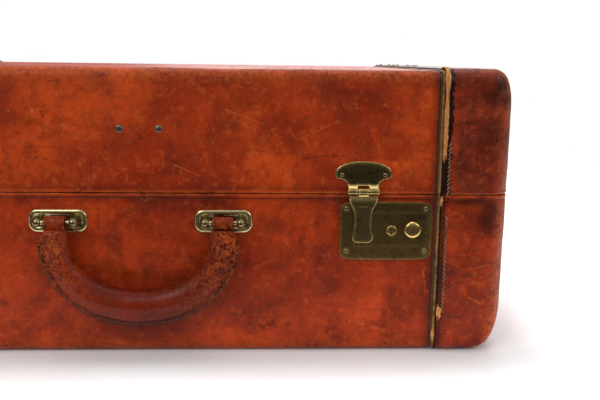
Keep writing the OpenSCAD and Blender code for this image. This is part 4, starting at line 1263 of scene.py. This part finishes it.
def hasp(side, name):
    """The tongue with rounded corners and a curled top, joined to its knuckle."""
    x = side * abs(HASP_X)
    corner = 4.2
    outline = []
    for k in range(30):
        z = TONGUE_TOP - (TONGUE_TOP - HASP_FOOT - corner) * k / 29
        outline.append((x + hasp_width(z) - 0.8 * smooth_step(z, 123.8, TONGUE_TOP), z))
    wide = hasp_width(HASP_FOOT + corner)
    for k in range(1, 8):
        angle = pi / 2 * k / 8
        outline.append((x + wide - corner * (1 - cos(angle)), HASP_FOOT + corner * (1 - sin(angle))))
    outline += [(2 * x - px, pz) for px, pz in reversed(outline)]
    levels = [(0.35, HASP_BACK, 0), (0.0, HASP_BACK - 0.35, 1), (0.0, HASP_FRONT + 0.5, 1),
              (0.15, HASP_FRONT + 0.17, 1), (0.5, HASP_FRONT, 1)]

    def curl(p):
        rise = smooth_step(p.z, 120.5, 125.6)
        dish = 0.3 * (1 - smooth_step(abs(p.x - x), 1.0, 6.0)) * (p.z < 117) * (p.y < HASP_FRONT + 0.3)
        return (p.x, p.y - 0.8 * rise + dish, p.z)

    def knuckle(bm, flag):
        left, right, foot, top = x - NECK_HALF, x + NECK_HALF, TONGUE_TOP - 0.6, HASP_PIN.z - 1.2
        tube(bm, flag, (left, HASP_PIN.y + 1.1, HASP_PIN.z), right, KNUCKLE, PIN_HOLE)
        corners = [(left, foot), (right, foot), (right, top), (left, top)]
        front = [bm.verts.new(Vector((px, HASP_FRONT + 0.1 - 0.4 * (pz > 126), pz)) * MM)
                 for px, pz in corners]
        back = [bm.verts.new(Vector((px, HASP_BACK + 0.1, pz)) * MM) for px, pz in corners]
        for k in range(4):
            other = (k + 1) % 4
            bm.faces.new((front[k], front[other], back[other], back[k]))
        bm.faces.new(front)
        bm.faces.new(back[::-1])

    def shape(p):
        if p.z > 125.4 and abs(p.x - x) <= 4.2:
            return (p.x, p.y - 1.1, p.z)
        return curl(p)

    # The band over the curl above the tongue's shoulders gets a painted highlight: the patina is taken off
    # there.
    lofted(f"{name}_tongue", outline, levels, "brass_hasp", BODY_OF[name], [name],
           shape, knuckle, painted_highlight=lambda p: 0.45 * smooth_step(p.z, 119.0, 121.5))


def hasp_plate(side, node):
    """A crescent with rounded ends, bent forward at its neck into two outer knuckles."""
    x = side * abs(HASP_X)
    widest, top_z, half = 141.2, high(node).z, 21.5
    tip, tip_drop = 3.2, 3.6
    neck_z, neck = 131.2, 11.6
    outline = []
    for k in range(33):
        angle = pi * k / 64
        rise = cos(angle) ** 0.9 if k < 32 else 0.0
        outline.append((x + half * sin(angle) ** 0.94, widest + (top_z - widest) * rise))
    for k in range(1, 9):
        angle = pi / 2 * k / 8
        outline.append((x + half - tip * (1 - cos(angle)), widest - tip_drop * sin(angle)))
    for k in range(1, 13):
        angle = pi / 2 * k / 12
        outline.append((x + half - tip + (neck - half + tip) * sin(angle),
                        widest - tip_drop + (neck_z - widest + tip_drop) * (1 - cos(angle))))
    outline += [(x + neck + 0.25, 129.8), (x + 4.3, 129.8), (x + 4.3, 132.3)]
    outline += [(2 * x - px, pz) for px, pz in reversed(outline[1:])]
    back, front = -190.05, -191.3
    levels = [(0.4, back, 0), (0.0, back - 0.3, 1), (0.0, front + 0.5, 1), (0.15, front + 0.15, 1),
              (0.5, front, 1), (1.0, front + 0.03, 1)]

    def shape(p):
        lean = -2.9 * smooth_step(-p.z, -133.6, -129.9)
        dome = -0.5 * max(0.0, 1 - ((p.x - x) / half) ** 2 - ((p.z - widest) / 11) ** 2) * (p.z > 136)
        return (p.x, p.y + lean + dome * (p.y < back - 0.4), p.z)

    def knuckles(bm, flag):
        for start, end in ((x - 11.8, x - 4.2), (x + 4.2, x + 11.8)):
            tube(bm, flag, (start, HASP_PIN.y + 2.9, HASP_PIN.z), end, KNUCKLE, PIN_HOLE)

    # The band round the neck's bend gets a painted highlight: the patina is taken off there.
    lofted(f"{node}_finished", outline, levels, "brass_dark", "lid", [node], shape, knuckles,
           painted_highlight=lambda p: 0.42 * smooth_step(-p.z, -135.5, -132.5))


LOCK_LOW, LOCK_HIGH = low("lock_plate_right"), high("lock_plate_right")
LOCK_MIDDLE = (LOCK_LOW + LOCK_HIGH) / 2
LOCK_HALF = (LOCK_HIGH - LOCK_LOW) / 2


def lock_bow(p):
    """The lock plate's face is a little dented and its long edges curve."""
    x = abs(p.x)
    across = (x - LOCK_MIDDLE.x) / LOCK_HALF.x
    up = (p.z - LOCK_MIDDLE.z) / LOCK_HALF.z
    dent = 0.10 * noise.noise(p / 9) if p.y < -192.2 and max(abs(across), abs(up)) < 0.93 else 0.0
    z = p.z + 0.7 * (1 - across ** 2) * up if abs(up) > 0.6 and not (x < 172 and up > 0) else p.z
    return (p.x, p.y + dent, z)


SPRING_WIRE = 0.3
KNOB_TRAVEL = 4.2


def spring(node):
    """A coil that ends short of the lock case's wall by the knob's travel."""
    lo, hi = low(node), high(node)
    side = copysign(1, lo.x)
    near = min(abs(lo.x), abs(hi.x)) + SPRING_WIRE
    far = max(abs(lo.x), abs(hi.x)) - SPRING_WIRE - KNOB_TRAVEL
    radius = (hi.z - lo.z) / 2 - SPRING_WIRE
    y, z = (lo.y + hi.y) / 2, (lo.z + hi.z) / 2
    sides, steps = 8, 7 * 18
    verts = []
    for k in range(steps + 1):
        angle = 2 * pi * k / 18
        for step in range(sides):
            around = 2 * pi * step / sides
            reach = radius + SPRING_WIRE * cos(around)
            x = near + (far - near) * k / steps + SPRING_WIRE * sin(around)
            verts.append((side * x, y + reach * cos(angle), z + reach * sin(angle)))
    new_piece(node + "_coil", verts, tube_faces(steps + 1, sides), "steel", BODY_OF[node], [node])


def knob(node):
    """A domed brass button with a turned rim."""
    lo, hi = low(node), high(node)
    x, base, z = (lo.x + hi.x) / 2, hi.y, (lo.z + hi.z) / 2
    radius = (hi.z - lo.z) / 2
    tall = base - lo.y
    profile = [(0.0, 0.0), (1.55, 0.0), (1.6, tall * 0.42), (2.0, tall * 0.44), (radius - 0.6, tall * 0.47),
               (radius - 0.1, tall * 0.52), (radius, tall * 0.58), (radius, tall * 0.70),
               (radius - 0.15, tall * 0.76), (radius - 0.5, tall * 0.81)]
    steps = 9
    for k in range(1, steps):
        share = k / steps
        angle = pi / 2 * share
        profile.append(((radius - 0.5) * cos(angle), tall * (0.81 + 0.19 * sin(angle))))
    profile.append((0.0, tall))
    return turned(node + "_button", profile, (x, base, z), "brass_knob", BODY_OF[node],
                  [node], edge=lambda r, t: 1.0 if r > radius - 0.9 else 0.3)


# These have shapes of their own below, or don't show.
OWN_SHAPES = ("lock_spring", "handle_core", "hasp_left", "hasp_right", "hasp_plate_left", "hasp_plate_right",
              "lock_knob", "handle_plate")
OWN_LOOKS = {"lock_plate_rivets": "rivet", "hasp_plate_rivets": "rivet", "hinge_rivets_lid": "rivet",
             "hinge_rivets_body": "rivet", "handle_staple_left": "brass_rim",
             "handle_staple_right": "brass_rim", "key_escutcheon_left": "brass_hasp",
             "key_escutcheon_right": "brass_hasp"}
for node, slot in SLOT_OF.items():
    if slot in METAL_SLOTS and not node.startswith(OWN_SHAPES):
        small = "rivet" in node or "pin" in node
        shape = lock_bow if node.startswith("lock_plate_") and not small else None
        refined(node, 0.12 if small else 0.35, OWN_LOOKS.get(node), 4.0 if small else 2.4, shape)


def handle_plate(node):
    """A dished plate: a broad polished rim that rolls down to a dark hollow."""
    lo, hi = low(node), high(node)
    x, z = (lo.x + hi.x) / 2, (lo.z + hi.z) / 2
    half_x, half_z, corner = (hi.x - lo.x) / 2, (hi.z - lo.z) / 2, 6.5
    outline = []
    for quarter in range(4):
        cx = (half_x - corner) * (1, -1, -1, 1)[quarter]
        cz = (half_z - corner) * (1, 1, -1, -1)[quarter]
        for k in range(13):
            angle = pi / 2 * (quarter + k / 12)
            outline.append((x + cx + corner * cos(angle), z + cz + corner * sin(angle)))
    back, front = hi.y - 0.05, lo.y
    tall = back - front
    levels = [(0.2, back, 0), (0.0, back - 0.25, 1), (0.0, back - tall * 0.45, 1)]
    for k in range(1, 7):
        angle = pi / 2 * k / 6
        levels.append((2.2 * (1 - cos(angle)), back - tall * (0.45 + 0.55 * sin(angle)), 1))
    for inset, dip in ((2.9, 0.05), (3.4, 0.2), (3.9, 0.5), (4.4, 0.85), (5.1, 1.05)):
        levels.append((inset, front + dip, int(inset < 3.5)))
    lofted(node + "_dished", outline, levels, "brass_rim", "case_body", [node], fade=1.1)


for side in (-1, 1):
    word = hand(side)
    handle_plate("handle_plate_" + word)
    hasp(side, "hasp_" + word)
    hasp_plate(side, "hasp_plate_" + word)
    knob("lock_knob_" + word)
    spring("lock_spring_" + word)


# ---------------------------------------------------------------- handle


GRIP_HALF_X = 61.0
GRIP_TOP, GRIP_DROP = 97.0, 54.0
GRIP_Y = -203.5
GRIP_POWER = 2 / 2.2
FLANGE = 4.0
LOOP_PIVOT = (-199.5, 105.2)
LOOP_END_Y = -197.6
LOOP_FRONT_END, LOOP_TORN_END = 93.5, 102.0


def grip_line():
    """Evenly spaced places, outward directions and shares along the handle's middle line."""
    dense = []
    for k in range(901):
        angle = pi * (1 - k / 900)
        c, s = cos(angle), sin(angle)
        dense.append(Vector((GRIP_HALF_X * copysign(abs(c) ** GRIP_POWER, c), GRIP_Y,
                             GRIP_TOP - GRIP_DROP * abs(s) ** GRIP_POWER)))
    ends = [Vector((x, GRIP_Y, GRIP_TOP + 3)) for x in (-GRIP_HALF_X, GRIP_HALF_X)]
    dense = [ends[0]] + dense + [ends[1]]
    gone = [0.0]
    for a, b in zip(dense, dense[1:]):
        gone.append(gone[-1] + (b - a).length)
    count = int(gone[-1] / 1.3)
    line, index = [], 0
    for k in range(count + 1):
        due = gone[-1] * k / count
        while index < len(gone) - 2 and gone[index + 1] < due:
            index += 1
        span = max(gone[index + 1] - gone[index], 1e-9)
        line.append(dense[index].lerp(dense[index + 1], (due - gone[index]) / span))
    found = []
    for k, place in enumerate(line):
        run = (line[min(k + 2, count)] - line[max(k - 2, 0)]).normalized()
        found.append((place, Vector((run.z, 0, -run.x)), k / count))
    return found, gone[-1]


def grip_half(share):
    """Half the grip's height: it swells towards its middle."""
    return 9.0 + 3.3 * max(sin(pi * share), 0) ** 1.4


def grip():
    """The stitched leather grip, with its flange on the outer side and cracks near its ends."""
    line, total = grip_line()
    angles = []
    for k in range(15):
        angles.append(0.34 * (k / 14) ** 1.3)
    for k in range(1, 25):
        angles.append(0.34 + (pi - 0.34) * k / 24)
    turns = [-a for a in reversed(angles[1:-1])] + angles
    verts, spans, wear, shade, crack = [], [], [], [], []
    for place, out, share in line:
        from_end = min(share, 1 - share) * total
        half = grip_half(share)
        flat = smooth_step(from_end, 1.0, 18.0)
        deep = half * (0.47 + 0.39 * flat)
        nose = smooth_step(from_end, -0.8, 1.6)
        half, deep = half * (0.75 + 0.25 * nose), deep * (0.6 + 0.4 * nose)
        flange = FLANGE * smooth_step(from_end, 1.5, 8.0)
        for angle in turns:
            c, s = cos(angle), sin(angle)
            power = 2.0 + 0.9 * (1 - flat)
            reach = (abs(c / half) ** power + abs(s / deep) ** power) ** (-1 / power)
            lip = flange * (1 - smooth_step(abs(angle), 0.10, 0.26))
            if lip > 0:
                thick = 1.9 + 8 * max(abs(angle) - 0.13, 0)
                beside = copysign(min(abs(s) * (reach + lip), thick), s)
                away = out * (c * (reach + lip)) + Vector((0, beside, 0))
            else:
                fold = -0.35 * bell(abs(angle) * reach, 4.2, 1.0) * (flange > 1)
                away = out * (c * reach + fold * c) + Vector((0, s * reach, 0))
            point = place + away
            bumpy = 0.30 * noise.noise(point / 13) + 0.14 * noise.noise(point / 4.5)
            crease = -0.45 * max(0.0, swirl(share * 46, angle * 1.3, 4)) ** 2 * (1 + 2 * (1 - flat))
            point = point + away.normalized() * (bumpy * 0.8 + crease) * min(1, abs(angle) * 4 + 0.2)
            verts.append(point)
            spans.append((share * total, abs(angle) * reach, 40.0))
            inside = max(0.0, -c)
            wear.append(0.35 * bell(abs(angle), 2.2, 0.5) + 0.6 * (1 - flat))
            groove = 0.35 * bell(abs(angle), 0.36, 0.12) * (flange > 1)
            shade.append(0.5 * (lip > 0.4) + groove + 0.15 * inside)
            facing = 0.35 + 0.65 * (c > -0.5)
            crack.append(bell(from_end, 4, 42) * (0.95 + 0.8 * noise.noise(point / 9)) * facing)
    faces = tube_faces(len(line), len(turns))
    piece = new_piece("handle_grip_leather", verts, faces, "leather_handle", "handle",
                      ["handle_grip"])
    paint_span(piece, spans)
    paint(piece, "wear", np.clip(wear, 0, 1))
    paint(piece, "shade", np.clip(shade, 0, 1))
    paint(piece, "crack", np.clip(crack, 0, 1))
    for face_side in (-1, 1):
        points, normals = [], []
        for place, out, share in line:
            if min(share, 1 - share) * total < 7:
                continue
            points.append(place + out * (grip_half(share) + FLANGE * 0.42) + Vector((0, face_side * 1.95, 0)))
            normals.append(Vector((0, face_side, 0)))
        stitch_row(f"handle_stitches_{'front' if face_side < 0 else 'back'}", points, normals, 3.4, 3.0, 0.55,
                   "dark_thread", "handle", slant=0.12)


def loop(side):
    """The leather that wraps the staple's bar. The right-hand one has torn open at the front."""
    pivot_y, pivot_z = LOOP_PIVOT
    reach = 4.68
    path = []
    torn = side > 0
    front = LOOP_TORN_END if torn else LOOP_FRONT_END
    count = max(3, int((pivot_z - front) / 0.9))
    for k in range(count):
        path.append((pivot_y - reach, front + (pivot_z - front) * k / count))
    for k in range(27):
        angle = radians(180 - 225 * k / 26)
        path.append((pivot_y + reach * cos(angle), pivot_z + reach * sin(angle)))
    for _ in range(6):
        path.append((path[-1][0] * 0.75 + LOOP_END_Y * 0.25, path[-1][1] - 1.05))
    width = 15.3
    across = stations(width, 1.4)
    gone = [0.0]
    for a, b in zip(path, path[1:]):
        gone.append(gone[-1] + dist(a, b))
    grid = []
    for a in across:
        row = []
        for k, (y, z) in enumerate(path):
            fray = 0.0
            if torn:
                fray = (1.5 * swirl(a / 2.2, 3, 7) + 0.8 * swirl(a / 0.9, 8, 1))
                fray *= max(0.0, 1 - gone[k] / 4)
            row.append((side * 61.5 + a - width / 2, y - 0.3 * bell(gone[k], 0, 2) * torn, z + fray))
        grid.append(row)
    grid, edge = np.array(grid), rim_distance(across, gone)
    relief = ripple(grid, (8, 0.18), (3, 0.08)) - 0.12
    relief = relief - 0.3 * bell(edge, 1.9, 0.4) * (grid[..., 2] < 103)
    name = f"handle_loop_{hand(side)}"
    piece = shell(name, grid, edge, 1.75, np.minimum(relief, 0), "leather_handle", "handle",
                  ["handle_loops"] if side > 0 else [])
    along = np.array(gone)[None, :] + 0 * edge
    paint_span(piece, doubled(np.stack([along, edge, edge + 40], axis=2)))
    paint(piece, "wear", doubled(np.clip(0.5 + 0.5 * bell(edge, 0, 1.2), 0, 1)))
    paint(piece, "shade", doubled(0.5 * bell(edge, 1.9, 0.6)))
    paint(piece, "crack", doubled(0.35 + 0.4 * bell(along, 0, 6)))


grip()
for side in (-1, 1):
    loop(side)


# ---------------------------------------------------------------- inside


def gathered_pocket(node):
    """A full-width cloth pocket, gathered by the elastic in its hem and sewn down on three sides."""
    lo, hi = low(node), high(node)
    wide, tall = hi.x - lo.x, hi.y - lo.y
    columns = stations(wide - 1, 1.5)
    rows = stations(tall - 1, 3.0)
    grid = []
    for a in columns:
        x = lo.x + 0.5 + a
        sag = smooth_step(min(a, wide - 1 - a), 0, 26)
        row = []
        for b in rows:
            y = lo.y + 0.5 + b
            mouth = exp(-b / 46)
            deep = smooth_step(tall - 1 - b, 0, 34) * sag
            sway = 5 * swirl(x / 60, y / 55, 2) + 1.6 * swirl(x / 14, y / 30, 9)
            fold = sin(2 * pi * (x + sway) / 13.5) + 0.35 * sin(2 * pi * (x + sway) / 6.1 + 1)
            hem = 1 - 0.55 * bell(b, 9, 5)
            drape = 1.1 * swirl(x / 33, y / 26, 4) + 0.5 * swirl(x / 9, y / 17, 7)
            drop = (6.9 * deep + 0.9) + deep * (1.7 * fold * (0.25 + 0.75 * mouth) * hem + drape)
            row.append((x, y, hi.z - min(max(drop, 1.0), hi.z - lo.z - 0.6)))
        grid.append(row)
    grid, edge = np.array(grid), rim_distance(columns, rows)
    relief = 0.22 * bell(edge, 3.2, 1.6) - 0.2 * bell(edge, 6.5, 0.7)
    normal = grid_normals(grid)
    normal = np.where(normal[..., 2:] > 0, -normal, normal)
    piece = shell("lid_pocket_cloth", grid, edge, 0.9, relief, "lining_cloth", "lid", [node],
                  normal)
    step_a = np.linalg.norm(np.diff(grid, axis=0), axis=2).sum(axis=0).mean()
    step_b = np.linalg.norm(np.diff(grid, axis=1), axis=2).sum(axis=1).mean()
    for line_y in (lo.y + 7.5, lo.y + 14.5):
        row = int(np.argmin(np.abs(grid[0, :, 1] - line_y)))
        points = [Vector(grid[k, row]) + Vector((0, 0, -0.15)) for k in range(4, len(columns) - 4)]
        downward = [Vector((0, 0, -1))] * len(points)
        stitch_row(f"lid_pocket_stitches_{row}", points, downward, 3.6, 2.4, 0.26, "thread",
                                   "lid")


STRAP_WIDTH = 32.0
BUCKLE_WIDTH = 42.0
HOLE_FIRST, HOLE_STEP = -40.0, 17.0


def packing_strap(side):
    """A flat strap sewn to the floor at both ends, with stitched edges and punched holes."""
    lo, hi = low("packing_straps"), high("packing_straps")
    width, middle = STRAP_WIDTH, side * (hi.x - STRAP_WIDTH / 2)
    columns = stations(width, 2.0)
    rows = stations(hi.y - lo.y, 2.6)
    sway = [0.5 * swirl(0, b / 50, side) for b in rows]
    grid = [[(middle + a - width / 2 + c, lo.y + b, hi.z) for b, c in zip(rows, sway)] for a in columns]
    grid, edge = np.array(grid), rim_distance(columns, rows)
    relief = ripple(grid, (28, 0.25), (9, 0.12)) - 0.25 * bell(edge, 2.6, 0.5) - 0.15
    holes = np.zeros_like(edge)
    for k in range(5):
        reach = np.hypot(grid[..., 0] - middle, grid[..., 1] - (HOLE_FIRST + k * HOLE_STEP))
        holes = np.maximum(holes, 1 / (1 + np.exp((reach - 2.0) * 6)))
    relief = relief - 1.2 * holes
    name = f"packing_strap_{hand(side)}"
    shell(name, grid, edge, hi.z - lo.z - 0.1, np.minimum(relief, -0.02), "leather_strap", "case_body",
          ["packing_straps"] if side > 0 else [], np.zeros_like(grid) + (0, 0, 1))
    piece = bpy.data.objects[name]
    paint(piece, "wear", doubled(0.8 * bell(edge, 0.4, 0.9)))
    paint(piece, "shade", doubled(np.clip(holes + 0.35 * bell(edge, 2.6, 0.9), 0, 1)))
    for k, inset in enumerate((-1, 1)):
        x = middle + inset * (width / 2 - 2.6)
        points = [Vector((x, lo.y + 3 + b, hi.z - 0.45)) for b in range(0, int(hi.y - lo.y - 6), 2)]
        stitch_row(f"{name}_stitches_{k}", points, [Vector((0, 0, 1))] * len(points), 3.6, 2.6, 0.3, "thread",
                   "case_body")


def buckle_prong(side):
    """A round prong hinged on the buckle's middle bar and resting on its front bar."""
    lo, hi = low("strap_buckles"), high("strap_buckles")
    x, top = side * (hi.x - BUCKLE_WIDTH / 2), hi.z
    y_middle, y_front = (lo.y + hi.y) / 2, lo.y + 0.6
    path = []
    for k in range(13):
        angle = radians(-120 + 210 * k / 12)
        path.append(Vector((x, y_middle + 2.4 * sin(angle + pi), (lo.z + top) / 2 + 2.4 * cos(angle))))
    path = [p for p in path if p.z > lo.z + 0.4]
    for k in range(1, 17):
        share = k / 16
        path.append(Vector((x, y_middle - 2.4 + (y_front - y_middle + 2.4) * share,
                            top + 0.9 + 0.5 * sin(pi * share) - 0.4 * share)))
    verts, sides = [], 12
    for k, place in enumerate(path):
        run = (path[min(k + 1, len(path) - 1)] - path[max(k - 1, 0)]).normalized()
        out = Vector((0, -run.z, run.y))
        fat = 0.95 * (1 - 0.45 * smooth_step(k, len(path) - 6, len(path) - 1))
        for step in range(sides):
            angle = 2 * pi * step / sides
            verts.append(place + Vector((fat * cos(angle), 0, 0)) + out * fat * sin(angle))
    new_piece("buckle_prong_" + hand(side), verts, tube_faces(len(path), sides), "brass_bright", "case_body")


gathered_pocket("lid_pocket")
for side in (-1, 1):
    packing_strap(side)
    buckle_prong(side)
refined("lid_keeper", 0.45, "leather_strap")


# ---------------------------------------------------------------- what is left


for node, slot in SLOT_OF.items():
    cad = frame["nodes"][node]
    if not cad.hide_render:
        cad.data.materials.clear()
        cad.data.materials.append(LOOKS[slot])
